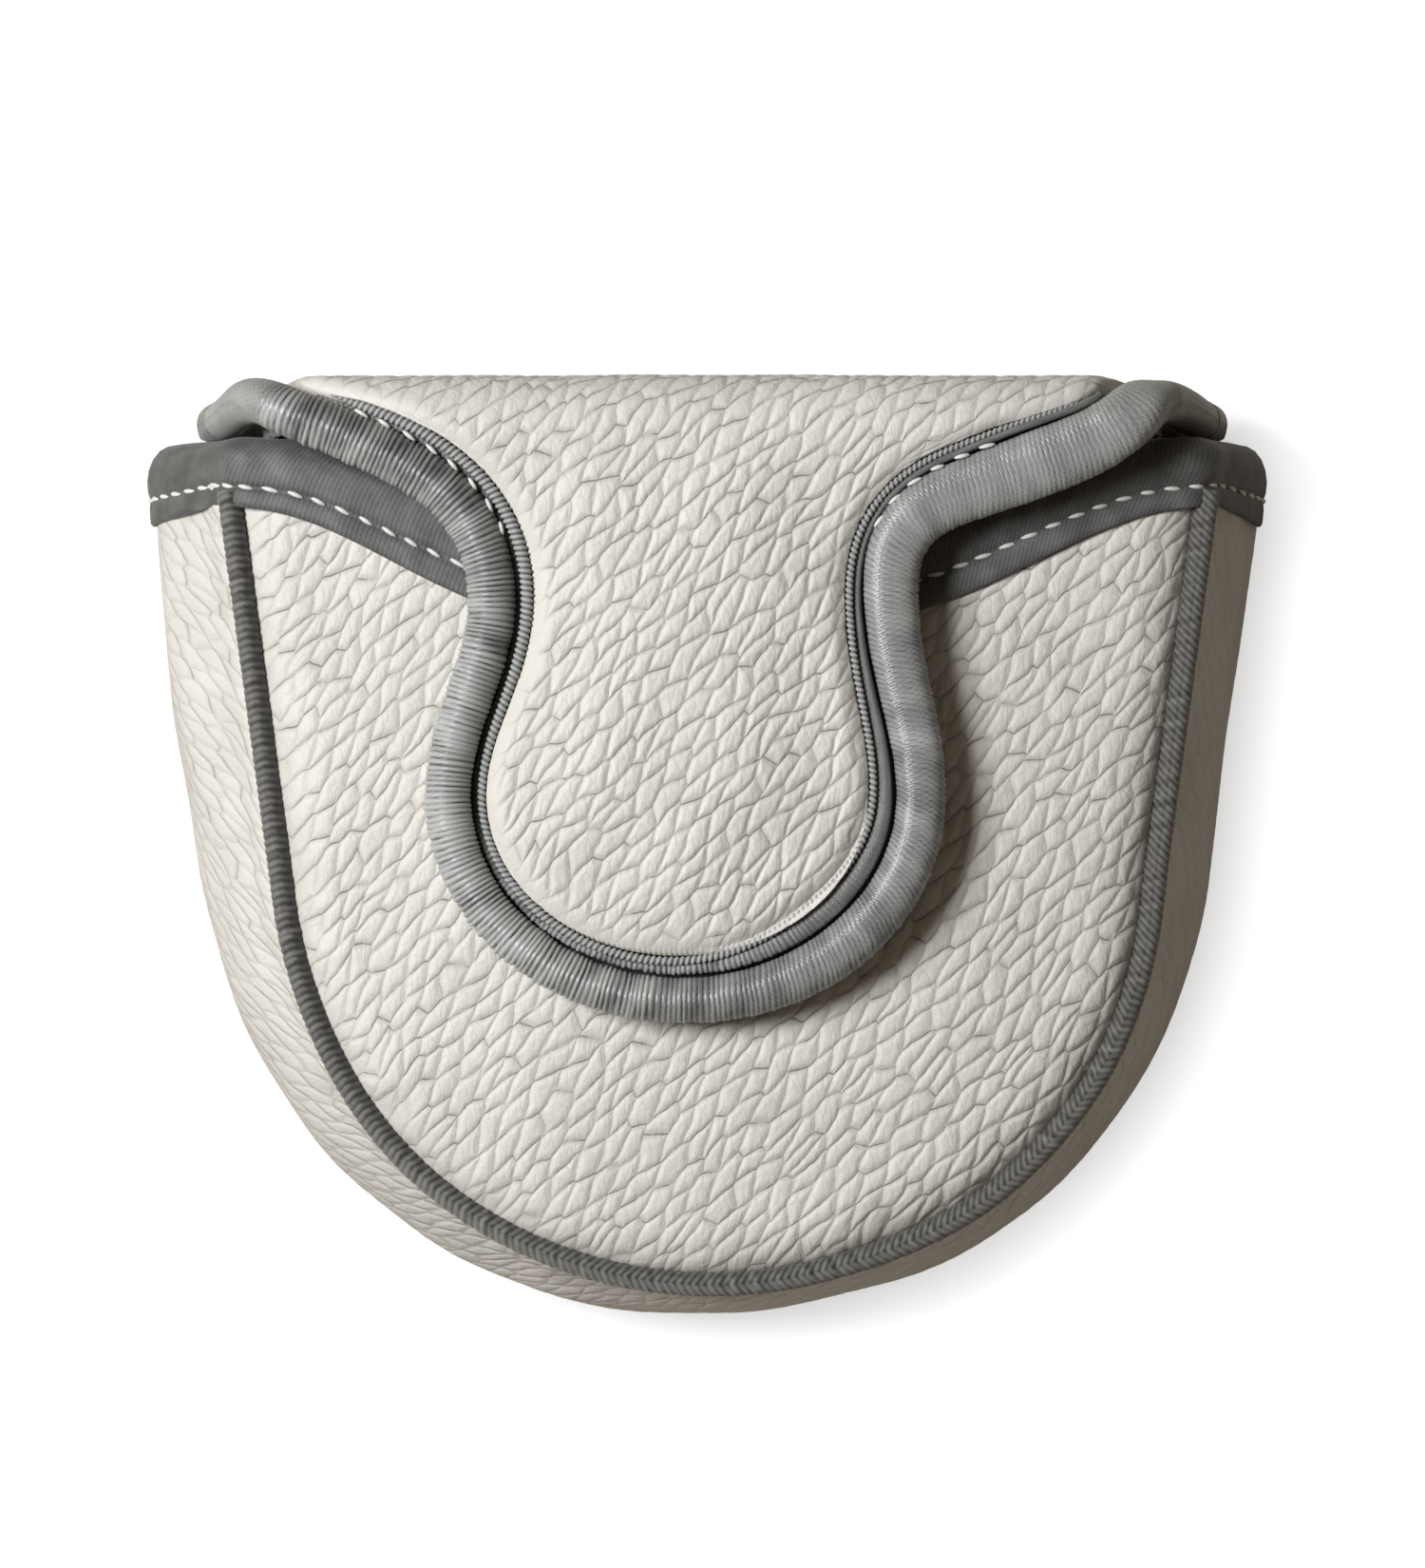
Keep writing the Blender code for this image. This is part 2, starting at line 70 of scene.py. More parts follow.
PIPING_LOW, PIPING_HIGH = box_mm("front_piping")
PIPING_RADIUS = (PIPING_HIGH[2] - PIPING_LOW[2]) / 2
FRONT_SEAM_Z = (PIPING_HIGH[2] + PIPING_LOW[2]) / 2
PANEL_INSET = PIPING_RADIUS * 0.7
BACK_SEAM_Z = (box_mm("back_piping")[0][2] + box_mm("back_piping")[1][2]) / 2
FRONT_TOP_Z = box_mm("front_panel_leather")[1][2]
FLAP_TOP_Z = box_mm("flap_leather")[1][2]
FOLD_Y = box_mm("bridge_leather")[1][1]
BOTTOM_Y = box_mm("gusset_leather")[0][1]
MOUTH_Y = box_mm("gusset_leather")[1][1]

SEAM_CENTRE_Y = 0.5
SEAM_RADIUS = SEAM_CENTRE_Y - PIPING_LOW[1] - PIPING_RADIUS
SEAM_FLARE = math.radians(7.8)
BULGE_CENTRE_Y = 4.9
BULGE_RADIUS = BULGE_CENTRE_Y - BOTTOM_Y
BULGE_FLARE = math.radians(7.5)
ARC_SHARE = 0.6
FOLD_RADIUS = 7.0
FOLD_START = FOLD_Y - FOLD_RADIUS
ARC_RUN = FOLD_RADIUS * math.pi / 2
BRIDGE_RUN = FLAP_TOP_Z - 2 * FOLD_RADIUS
SPLIT_RUN = FOLD_START + ARC_RUN + BRIDGE_RUN / 2
LOW_FOLD_RUN = FOLD_START + ARC_RUN + BRIDGE_RUN
BACK_RUN = LOW_FOLD_RUN + ARC_RUN
WALL = 4.2
MOUTH_DIP_Y = 38.0
HEM_DIP_Y = 28.0
HEM_RISE = 13.8

# --- Small helpers --------------------------------------------------------------------------------


def ease(low, high, value):
    """0 at low and 1 at high, eased at both ends; low may be the larger of the two."""
    share = np.clip((value - low) / (high - low), 0, 1)
    return share * share * (3 - 2 * share)


def lerp(a, b, share):
    return a + (b - a) * share


def wobble(values, seed, count=6):
    """A smooth irregular wave between about -1 and 1, from a few sines."""
    rng = np.random.default_rng(seed)
    total = np.zeros_like(np.asarray(values, float))
    for _ in range(count):
        total += np.sin(values * rng.uniform(0.35, 1.6) + rng.uniform(0, TAU))
    return total / math.sqrt(count * 2)


def patches(x, y, seed, size):
    """Soft irregular patches between about -1 and 1."""
    rng = np.random.default_rng(seed)
    total = 0
    for _ in range(9):
        turn, phase = rng.uniform(0, TAU, 2)
        wave = rng.uniform(0.6, 1.7) * TAU / size
        total = total + np.sin((x * math.cos(turn) + y * math.sin(turn)) * wave + phase)
    return total / 3


def lengths(line):
    """The distance along a line at each of its rows."""
    return np.concatenate([[0], np.cumsum(np.linalg.norm(np.diff(line, axis=0), axis=1))])


def resample(line, count, reach=None):
    """The rows of a line read again at evenly spaced places along it."""
    along = lengths(line[:, :reach])
    at = np.linspace(0, along[-1], count)
    return np.stack([np.interp(at, along, line[:, k]) for k in range(line.shape[1])], axis=1)


def soften(line, window):
    """A moving average along a line, with its ends held."""
    if window < 3:
        return line
    window |= 1
    half = window // 2
    lead = 2 * line[:1] - line[half:0:-1]
    tail = 2 * line[-1:] - line[-2 : -half - 2 : -1]
    padded = np.vstack([lead, line, tail])
    total = np.cumsum(np.vstack([np.zeros((1, line.shape[1])), padded]), axis=0)
    return (total[window:] - total[:-window]) / window


def smooth_line(keys, step):
    """A Catmull-Rom curve through the key rows, read at even steps along its first two columns."""
    keys = np.array(keys, float)
    padded = np.vstack([2 * keys[0] - keys[1], keys, 2 * keys[-1] - keys[-2]])
    fine = []
    t = np.linspace(0, 1, 40, endpoint=False)[:, None]
    for i in range(1, len(padded) - 2):
        a, b, c, d = padded[i - 1 : i + 3]
        square, cube = 2 * a - 5 * b + 4 * c - d, 3 * b - a - 3 * c + d
        fine.append(0.5 * (2 * b + (c - a) * t + square * t**2 + cube * t**3))
    fine = np.vstack([*fine, keys[-1:]])
    total = lengths(fine[:, :2])[-1]
    return resample(fine, max(3, int(total / step)), 2)


def unit(vectors):
    return vectors / np.maximum(np.linalg.norm(vectors, axis=-1, keepdims=True), 1e-9)


def joined(*columns):
    """Points from their coordinates, each a number or an array."""
    return np.stack(np.broadcast_arrays(*columns), axis=-1)


def round_angles(count):
    return np.linspace(0, TAU, count, endpoint=False)[None, :]


def grid_normals(points):
    return unit(np.cross(np.gradient(points, axis=1), np.gradient(points, axis=0)))


def mesh_object(name, points, faces, attributes=None):
    """A smooth closed piece from points in millimetres, with named values on its points."""
    mesh = bpy.data.meshes.new(name)
    mesh.from_pydata((points * MM).tolist(), [], faces)
    form = bmesh.new()
    form.from_mesh(mesh)
    bmesh.ops.recalc_face_normals(form, faces=form.faces)
    form.to_mesh(mesh)
    form.free()
    mesh.shade_smooth()
    for key, values in (attributes or {}).items():
        kind, field = ("FLOAT_VECTOR", "vector") if values.ndim == 2 else ("FLOAT", "value")
        layer = mesh.attributes.new(key, kind, "POINT")
        layer.data.foreach_set(field, np.ascontiguousarray(values, np.float32).ravel())
    piece = bpy.data.objects.new(name, mesh)
    bpy.context.scene.collection.objects.link(piece)
    return piece


def grid_faces(rows, columns, start=0, flip=False, round_rows=False):
    """Quads of a grid; round_rows also joins each row's last point to its first."""
    i, j = np.meshgrid(np.arange(rows - 1), np.arange(columns if round_rows else columns - 1), indexing="ij")
    right = (j + 1) % columns
    corners = [i * columns + j, i * columns + right, (i + 1) * columns + right, (i + 1) * columns + j]
    if flip:
        corners.reverse()
    return (np.stack(corners, axis=-1).reshape(-1, 4) + start).tolist()


def rim_loop(rows, columns):
    """Indices round the edge of a grid, in order."""
    ids = np.arange(rows * columns).reshape(rows, columns)
    return np.concatenate([ids[0, :-1], ids[:-1, -1], ids[-1, :0:-1], ids[:0:-1, 0]])


STRIDE = 4


def pad(name, top, under, place, gain):
    """A closed pad: a fine upper grid, an under grid at a quarter of its density, and a rim between them.

    place gives each point's flat coordinates for the grain, and gain how many millimetres the grain rises.
    """
    rows, columns = top.shape[:2]
    coarse = under[::STRIDE, ::STRIDE]
    low_rows, low_columns = coarse.shape[:2]
    count = rows * columns
    faces = grid_faces(rows, columns)
    faces += grid_faces(low_rows, low_columns, start=count, flip=True)
    fine_rim = rim_loop(rows, columns)
    low_rim = rim_loop(low_rows, low_columns) + count
    for k, low in enumerate(low_rim):
        after = low_rim[(k + 1) % len(low_rim)]
        strip = [int(fine_rim[(k * STRIDE + i) % len(fine_rim)]) for i in range(STRIDE + 1)]
        faces += [(int(low), b, a) for a, b in zip(strip[:-1], strip[1:], strict=True)]
        faces.append((int(low), int(after), strip[-1]))
    points = np.vstack([top.reshape(-1, 3), coarse.reshape(-1, 3)])
    flat = np.zeros((rows, columns, 3))
    flat[..., :2] = place
    flat = np.vstack([flat.reshape(-1, 3), flat[::STRIDE, ::STRIDE].reshape(-1, 3)])
    gains = np.append(np.broadcast_to(gain, (rows, columns)), np.zeros(low_rows * low_columns))
    return mesh_object(name, points, faces, {"flat": flat, "gain": gains})


RIB_SHADE_SPAN = 0.5


def tube(name, centre, out, up, wide, tall, ridges, around=28, boxy=2.0, mark=0.0, painted_light_shade=0.0):
    """A closed sweep along a centre line, wide along out and tall along up.

    ridges(u, angle) is added to the radius, in millimetres; angle 0 looks along out, a quarter turn along up.
    mark says how ribbed the tape is; the last argument is painted light and shade along the line, and round
    it if given so.
    """
    angle = round_angles(around)
    u = lengths(centre)[:, None]
    extra = ridges(u, angle)
    power = 2 / np.broadcast_to(boxy, (len(centre),))[:, None]
    cos, sin = np.cos(angle), np.sin(angle)
    side = np.sign(cos) * np.abs(cos) ** power
    rise = np.sign(sin) * np.abs(sin) ** power
    wide = np.broadcast_to(wide, (len(centre),))[:, None] * side + extra * cos
    tall = np.broadcast_to(tall, (len(centre),))[:, None] * rise + extra * sin
    points = centre[:, None] + out[:, None] * wide[..., None] + up[:, None] * tall[..., None]
    count = len(centre) * around
    faces = grid_faces(len(centre), around, round_rows=True)
    last = count - around
    faces += [(count, (i + 1) % around, i) for i in range(around)]
    faces += [(count + 1, last + i, last + (i + 1) % around) for i in range(around)]
    flat = np.zeros((len(centre), around, 3))
    flat[..., 0] = u
    flat[..., 1] = (angle - math.pi / 2) * 3
    flat = np.vstack([flat.reshape(-1, 3), flat[0, :1], flat[-1, :1]])
    points = np.vstack([points.reshape(-1, 3), centre[:1], centre[-1:]])
    painted_light_shade = np.broadcast_to(painted_light_shade, (len(centre),))[:, None] if np.ndim(painted_light_shade) < 2 else painted_light_shade
    # relief is a colour level: the ridges paint it darker in their valleys and lighter on their crests,
    # painted shade and highlight, and the last argument adds painted light and shade.
    relief = np.clip(0.5 + extra / RIB_SHADE_SPAN + painted_light_shade, 0, 1) + 0 * angle
    mark = np.broadcast_to(mark, (len(centre),))
    values = {
        "flat": flat,
        "relief": np.append(relief.ravel(), [0.5, 0.5]),
        "mark": np.append(np.repeat(mark, around), mark[[0, -1]]),
    }
    return mesh_object(name, points, faces, values)


# --- Surfaces -------------------------------------------------------------------------------------


def seam_half_width(y, inset=0.0):
    """Half the width between the seams at each height up the front."""
    radius = SEAM_RADIUS - inset
    tangent_y = SEAM_CENTRE_Y - radius * math.sin(SEAM_FLARE)
    straight = radius * math.cos(SEAM_FLARE) + (y - tangent_y) * math.tan(SEAM_FLARE)
    curved = np.sqrt(np.maximum(0, radius**2 - (y - SEAM_CENTRE_Y) ** 2))
    return np.where(y > tangent_y, straight, curved)


def seam_distance(x, y):
    """How far a point lies inside the seam line."""
    round_part = SEAM_RADIUS - np.hypot(x, y - SEAM_CENTRE_Y)
    side_part = (seam_half_width(y) - np.abs(x)) * math.cos(SEAM_FLARE)
    return np.where(y > SEAM_CENTRE_Y - SEAM_RADIUS * math.sin(SEAM_FLARE), side_part, round_part)


def flared(radius, centre_y, flare, t, top_y):
    """Points on a flared U; t runs from -1 at the left end of the mouth to 1 at the right end."""
    reach = np.abs(t)
    angle = (math.pi / 2 - flare) * np.minimum(reach, ARC_SHARE) / ARC_SHARE
    x = radius * np.sin(angle)
    y = centre_y - radius * np.cos(angle)
    rise = (top_y - y) * np.clip((reach - ARC_SHARE) / (1 - ARC_SHARE), 0, 1)
    return np.sign(t) * (x + rise * np.tan(flare)), y + rise


def rim_y(x):
    """The bound edge of the mouth across the front, lowest in the middle."""
    return MOUTH_DIP_Y + (MOUTH_Y - MOUTH_DIP_Y) * ease(12, 56, np.abs(x))


def hem_y(x):
    """The lower edge of the tape across the front."""
    return HEM_DIP_Y + HEM_RISE * ease(20, 60, np.abs(x))


def u_grid(inset, half_rows, columns, top):
    """Flat x and y over the D shape: rows climb from the round bottom to the top line top(x)."""
    radius = SEAM_RADIUS - inset
    a = np.linspace(-1, 1, columns)[None, :]
    b = np.linspace(-1, 0, half_rows)[:, None]
    low_x = radius * a * np.sqrt(1 - b**2 / 2)
    low_y = radius * b * np.sqrt(1 - a**2 / 2)
    circle = np.sqrt(np.maximum(radius**2 - low_y**2, 1))
    low_x *= np.maximum(1, seam_half_width(low_y + SEAM_CENTRE_Y, inset) / circle)
    low_y += SEAM_CENTRE_Y
    c = np.linspace(0, 1, half_rows)[1:, None]
    edge = top(a * seam_half_width(MOUTH_Y, inset))
    high_y = SEAM_CENTRE_Y + (edge - SEAM_CENTRE_Y) * c
    high_x = a * seam_half_width(high_y, inset)
    return np.vstack([low_x, high_x]), np.vstack([low_y, high_y])


FRONT_EDGE_Z = 33.0
EDGE_ROLL = 7.0
EDGE_RISE = 4.2
CROWN = FRONT_TOP_Z - FRONT_EDGE_Z - EDGE_RISE
CROWN_REACH = 20
MOUTH_FLATTENING = 0.22


def rounded(d, reach):
    """A quarter circle from 0 at the edge to 1 at the reach inside it."""
    return np.sqrt(1 - np.clip(1 - d / reach, 0, 1) ** 2)


def front_height(x, y):
    """The crowned front: it rolls over steeply at the seam and dips towards the mouth."""
    d = np.maximum(0, seam_distance(x, y) - PANEL_INSET)
    rise = EDGE_RISE * rounded(d, EDGE_ROLL) + CROWN * (1 - np.exp(-((d / CROWN_REACH) ** 2)))
    return FRONT_EDGE_Z + rise * (1 - MOUTH_FLATTENING * ease(8, 36, y))


def gusset_bulge(w):
    """How far the gusset bulges, 0..1; it is fullest below its middle."""
    return 1 - np.abs(2 * w**0.58 - 1) ** 2.1


MOUTH_LEAN = 3.0
MOUTH_LEAN_REACH = 6
LEFT_DRAWN_IN = 1.5
LEFT_FULLER = 2.6
LOW_LEFT_FULLER = (1.0, 1.3)
LOW_RIGHT_FULLER = (0.75, 0.65)
BOTTOM_FULLER = 0.5
SIDE_SHARE = (1 - ARC_SHARE) / (MOUTH_Y - SEAM_CENTRE_Y + SEAM_RADIUS * math.sin(SEAM_FLARE))


def mouth_pull(drop, w):
    """How far the gusset leans in at its mouth, the drop below the bound edge."""
    return MOUTH_LEAN * gusset_bulge(w) * np.maximum(0, 1 - drop / MOUTH_LEAN_REACH) ** 2


def settle(points):
    """The pouch as it lies: its left side fuller half way up, and drawn in a little at the front seam."""
    x, y, z = points[..., 0], points[..., 1], points[..., 2]
    side = ease(-30, -58, x) * ease(-70, -20, y)
    high = ease(17, 33, z)
    above_back = ease(3, 13, z)
    middle = above_back * (1 - high)
    full = middle * (0.35 + 0.65 * np.exp(-(((y - 19) / 21) ** 2)))
    low_left = ease(25, -40, x) * ease(8, -42, y) * middle
    low_right = ease(14, 36, x) * ease(0, -30, y) * above_back
    moved = points.copy()
    moved[..., 0] += side * (LEFT_DRAWN_IN * high - LEFT_FULLER * full)
    moved[..., 0] += LOW_RIGHT_FULLER[0] * low_right - LOW_LEFT_FULLER[0] * low_left
    moved[..., 1] -= LOW_RIGHT_FULLER[1] * low_right + LOW_LEFT_FULLER[1] * low_left
    moved[..., 1] -= BOTTOM_FULLER * ease(-20, -50, y) * middle
    return moved


GUSSET_TUCK = 0.9


def gusset_surface(t, w, depth=0.0):
    """Points round the gusset; w runs 0..1 from the back seam to the front seam."""
    bulge = gusset_bulge(w)
    radius = lerp(SEAM_RADIUS - GUSSET_TUCK, BULGE_RADIUS, bulge) - depth
    centre_y = lerp(SEAM_CENTRE_Y, BULGE_CENTRE_Y, bulge)
    x, y = flared(radius, centre_y, lerp(SEAM_FLARE, BULGE_FLARE, bulge), t, MOUTH_Y)
    middle = (BACK_SEAM_Z + FRONT_SEAM_Z) / 2
    span = FRONT_SEAM_Z - BACK_SEAM_Z - PIPING_RADIUS * 0.6
    return joined(x, y, middle + span * (w - 0.5) * (1 - depth / 16))


def lay(x, run, height):
    """Lays the flat tongue over the flap, the upper fold, the bridge, the lower fold and the back."""
    past_fold = run - FOLD_START
    past_bridge = run - LOW_FOLD_RUN
    turn = (np.clip(past_fold / ARC_RUN, 0, 1) + np.clip(past_bridge / ARC_RUN, 0, 1)) * math.pi / 2
    down = np.clip(past_fold - ARC_RUN, 0, BRIDGE_RUN)
    back = np.maximum(0, past_bridge - ARC_RUN)
    radius = FOLD_RADIUS + height
    y = np.minimum(run, FOLD_START) + radius * np.sin(turn) - back
    z = FLAP_TOP_Z - FOLD_RADIUS - down + radius * np.cos(turn)
    return joined(x, y, z)


def lay_frame(line, depth):
    """Centre, outward and upward directions of an edge drawn flat, from left to right round the bulb."""
    centre = lay(line[:, 0], line[:, 1], -depth)
    up = unit(lay(line[:, 0], line[:, 1], -depth + 1) - centre)
    out = unit(np.cross(np.gradient(centre, axis=0), up))
    return centre, out, up


# --- Materials ------------------------------------------------------------------------------------


def add(tree, kind, inputs=None, **settings):
    """A new node, its settings, and its inputs given as values or as sockets to link."""
    node = tree.nodes.new(kind)
    for key, value in settings.items():
        setattr(node, key, value)
    for key, value in (inputs or {}).items():
        if isinstance(value, bpy.types.NodeSocket):
            tree.links.new(value, node.inputs[key])
        else:
            node.inputs[key].default_value = value
    return node


def sums(tree, operation, a, b=0.0, c=0.0):
    return add(tree, "ShaderNodeMath", {0: a, 1: b, 2: c}, operation=operation).outputs[0]


def times(tree, a, b, plus=0.0):
    return sums(tree, "MULTIPLY_ADD", a, b, plus)


def vector(tree, operation, *inputs):
    made = add(tree, "ShaderNodeVectorMath", dict(enumerate(inputs)), operation=operation)
    return made.outputs["Value" if operation == "DOT_PRODUCT" else "Vector"]


def stored(tree, name):
    """A number kept on the mesh's points."""
    return add(tree, "ShaderNodeAttribute", attribute_name=name).outputs["Fac"]


def ramp(tree, value, low, high, start=0.0, end=1.0):
    """The value eased from low..high to start..end."""
    inputs = {"Value": value, "From Min": low, "From Max": high, "To Min": start, "To Max": end}
    return add(tree, "ShaderNodeMapRange", inputs, interpolation_type="SMOOTHSTEP").outputs["Result"]


def noise(tree, place, scale, detail=2.0):
    inputs = {"Vector": place, "Scale": scale, "Detail": detail, "Roughness": 0.55}
    return add(tree, "ShaderNodeTexNoise", inputs, noise_dimensions="3D")


ROW_TURN = math.radians(33)
CROSS_TURN = math.radians(74)
CELL_LENGTH = 3.75
ROW_GAP = 2.6
FINE_CELL = 0.52
GRAIN_WANDER = ((0.11, 1.0, 2.2), (0.4, 2.0, 0.6))


def cells(tree, place, feature, scale=1.0, turn=0.0, randomness=0.68):
    """Cells of a leather grain: leaning rows of lozenges, scale times the usual size."""
    row, cross = ROW_TURN + turn, CROSS_TURN + turn
    length, gap = CELL_LENGTH * scale * math.sin(cross - row), ROW_GAP * scale
    across = vector(tree, "DOT_PRODUCT", place, (math.sin(cross) / length, -math.cos(cross) / length, 0))
    down = vector(tree, "DOT_PRODUCT", place, (-math.sin(row) / gap, math.cos(row) / gap, 0))
    both = add(tree, "ShaderNodeCombineXYZ", {0: across, 1: down}).outputs[0]
    inputs = {"Vector": both, "Scale": 1.0, "Randomness": randomness}
    return add(tree, "ShaderNodeTexVoronoi", inputs, voronoi_dimensions="2D", feature=feature).outputs


def grain(tree, place):
    """The leather's grain: how high it stands, 0..1, and how deep its creases are, 0..1, which also serves as
    painted shade in the creases.
    """
    bent = place
    for scale, detail, reach in GRAIN_WANDER:
        way = vector(tree, "SUBTRACT", noise(tree, place, scale, detail).outputs["Color"], (0.5, 0.5, 0.5))
        bent = vector(tree, "MULTIPLY_ADD", way, (reach, reach, 0), bent)
    edge = cells(tree, bent, "DISTANCE_TO_EDGE")["Distance"]
    first, second = (cells(tree, bent, feature)["Position"] for feature in ("F1", "F2"))
    apart = vector(tree, "NORMALIZE", vector(tree, "SUBTRACT", second, first))
    down = add(tree, "ShaderNodeSeparateXYZ", {0: apart}).outputs[1]
    along_row = ramp(tree, sums(tree, "ABSOLUTE", down), 0.35, 0.9, 0.3, 1.0)
    fine = cells(tree, bent, "DISTANCE_TO_EDGE", FINE_CELL, 0.6, 1.0)["Distance"]
    patchy = ramp(tree, noise(tree, place, 0.3, 2.0).outputs[0], 0.34, 0.6, 0.35, 1.0)
    soft_dome = times(tree, ramp(tree, fine, -0.1, 0.3), 0.12)
    height = times(tree, ramp(tree, edge, -0.1, 0.29), 0.78, soft_dome)
    height = times(tree, noise(tree, place, 0.42, 2.0).outputs[0], 0.35, height)
    # line, faint and shade darken the creases and the cell edges beside them: painted shade, where the
    # creases would be shaded.
    line = times(tree, ramp(tree, edge, 0.0, 0.05, 1.0, 0.0), times(tree, along_row, patchy))
    faint = times(tree, ramp(tree, fine, 0.0, 0.07, 1.0, 0.0), 0.1)
    shade = times(tree, ramp(tree, edge, 0.0, 0.2, 0.3, 0.0), along_row)
    return height, sums(tree, "MAXIMUM", line, sums(tree, "MAXIMUM", faint, shade))


def shown(node):
    """The output in use, of those that a node has for each data type."""
    return next(socket for socket in node.outputs if socket.enabled)


def grain_lifter():
    """Geometry nodes that raise the leather's grain out of a mesh."""
    group = bpy.data.node_groups.new("grain_lifter", "GeometryNodeTree")
    for way in ("INPUT", "OUTPUT"):
        group.interface.new_socket("Geometry", in_out=way, socket_type="NodeSocketGeometry")
    start = add(group, "NodeGroupInput")
    flat = add(group, "GeometryNodeInputNamedAttribute", {"Name": "flat"}, data_type="FLOAT_VECTOR")
    gain = add(group, "GeometryNodeInputNamedAttribute", {"Name": "gain"}, data_type="FLOAT")
    height = grain(group, shown(flat))[0]
    lift = times(group, times(group, height, shown(gain)), MM)
    normal = add(group, "GeometryNodeInputNormal").outputs[0]
    offset = add(group, "ShaderNodeVectorMath", {0: normal, "Scale": lift}, operation="SCALE").outputs[0]
    moved = add(group, "GeometryNodeSetPosition", {"Geometry": start.outputs[0], "Offset": offset})
    add(group, "NodeGroupOutput", {0: moved.outputs[0]})
    return group


LIFTER = grain_lifter()


def lift_grain(piece):
    piece.modifiers.new("grain", "NODES").node_group = LIFTER
    shaped = bpy.data.meshes.new_from_object(piece.evaluated_get(bpy.context.evaluated_depsgraph_get()))
    piece.modifiers.clear()
    piece.data = shaped
    return piece


def material(name, roughness, specular=0.5, sheen=0.0, metallic=0.0):
    made = bpy.data.materials.new(name)
    made.use_nodes = True
    shader = made.node_tree.nodes["Principled BSDF"]
    values = {"Roughness": roughness, "Specular IOR Level": specular}
    values.update({"Sheen Weight": sheen, "Metallic": metallic})
    for key, value in values.items():
        shader.inputs[key].default_value = value
    return made, made.node_tree, shader


def flat_place(tree):
    return add(tree, "ShaderNodeAttribute", attribute_name="flat").outputs["Vector"]


def tint(tree, share, low, high):
    """Two colours mixed by share; low may be a socket."""
    low = (*low, 1) if isinstance(low, tuple) else low
    return add(tree, "ShaderNodeMix", {0: share, 6: low, 7: (*high, 1)}, data_type="RGBA").outputs[2]


def paint(tree, shader, colour, height, strength, depth):
    """Puts a colour and a bump on the shader; depth is in millimetres."""
    tree.links.new(colour, shader.inputs["Base Color"])
    bump = add(tree, "ShaderNodeBump", {"Strength": strength, "Distance": depth * MM, "Height": height})
    tree.links.new(bump.outputs[0], shader.inputs["Normal"])


def stripes(tree, place, across, pitch):
    """0..1 ripples along the flat direction across, at the pitch."""
    wave = vector(tree, "DOT_PRODUCT", place, (*(TAU / pitch * part for part in across), 0))
    return times(tree, sums(tree, "SINE", wave), 0.5, 0.5)


def leather_look():
    made, tree, shader = material("ivory_grain_leather", 0.5, 0.35)
    flat = flat_place(tree)
    height, crease_depth_and_shade = grain(tree, flat)
    share = ramp(tree, stored(tree, "gain"), 0.0, 0.18)
    crease_depth_and_shade = times(tree, crease_depth_and_shade, share)
    mottle = ramp(tree, noise(tree, flat, 0.1, 3.0).outputs[0], 0.3, 0.7)
    worn = tint(tree, mottle, (0.615, 0.598, 0.56), (0.665, 0.652, 0.618))
    # The colour darkens to a warm brown in the creases: painted shade in the creases; the same value also
    # deepens the bump.
    colour_with_painted_crease_shade = tint(tree, times(tree, crease_depth_and_shade, 0.9), worn, (0.17, 0.143, 0.112))
    relief = sums(tree, "SUBTRACT", times(tree, height, share), times(tree, crease_depth_and_shade, 0.55))
    relief = times(tree, noise(tree, flat, 1.9, 4.0).outputs[0], 0.55, relief)
    paint(tree, shader, colour_with_painted_crease_shade, relief, 0.65, 0.24)
    return made


def grosgrain_look(name, roughness, ripple, contrast):
    """Ribbed tape; ripple is the pitch of its fine ribs and contrast how dark they are."""
    made, tree, shader = material(name, roughness, 0.5, 0.1)
    flat = flat_place(tree)
    weave = sums(tree, "MAXIMUM", stripes(tree, flat, (1, 0.9), 0.75), stripes(tree, flat, (1, -0.9), 0.75))
    ribs = times(tree, stripes(tree, flat, (1, 0.3), ripple), 0.35)
    cross = times(tree, stored(tree, "mark"), -0.8, 1.0)
    fine = times(tree, times(tree, weave, cross), 0.65, ribs)
    cloud = times(tree, noise(tree, flat, 0.3, 3.0).outputs[0], 0.3, -0.15 - contrast / 2)
    # The stored relief sets the colour level: on ribbed pieces it is painted shade in the ribs' valleys and
    # painted highlight on their crests, with painted light and shade along the roll; the mouth tape has one
    # even level.
    shade = sums(tree, "ADD", times(tree, fine, contrast, cloud), stored(tree, "relief"))
    look = tint(tree, ramp(tree, shade, 0.12, 0.95), (0.03, 0.031, 0.031), (0.42, 0.435, 0.43))
    paint(tree, shader, look, fine, 0.6, 0.07)
    return made


def braid_look():
    made, tree, shader = material("grey_corded_braid", 0.55, 0.4, 0.2)
    flat = flat_place(tree)
    cloud = times(tree, noise(tree, flat, 0.7, 3.0).outputs[0], 0.3, -0.2)
    fibre = stripes(tree, flat, (1, 1.3), 0.28)
    # The stored relief is painted shade in the braid's grooves, on its left and on its inward side, and
    # painted highlight on its strands.
    shade = sums(tree, "ADD", times(tree, fibre, 0.12, cloud), stored(tree, "relief"))
    look = tint(tree, ramp(tree, shade, 0.0, 0.9), (0.022, 0.021, 0.018), (0.25, 0.25, 0.235))
    paint(tree, shader, look, fibre, 0.35, 0.05)
    return made


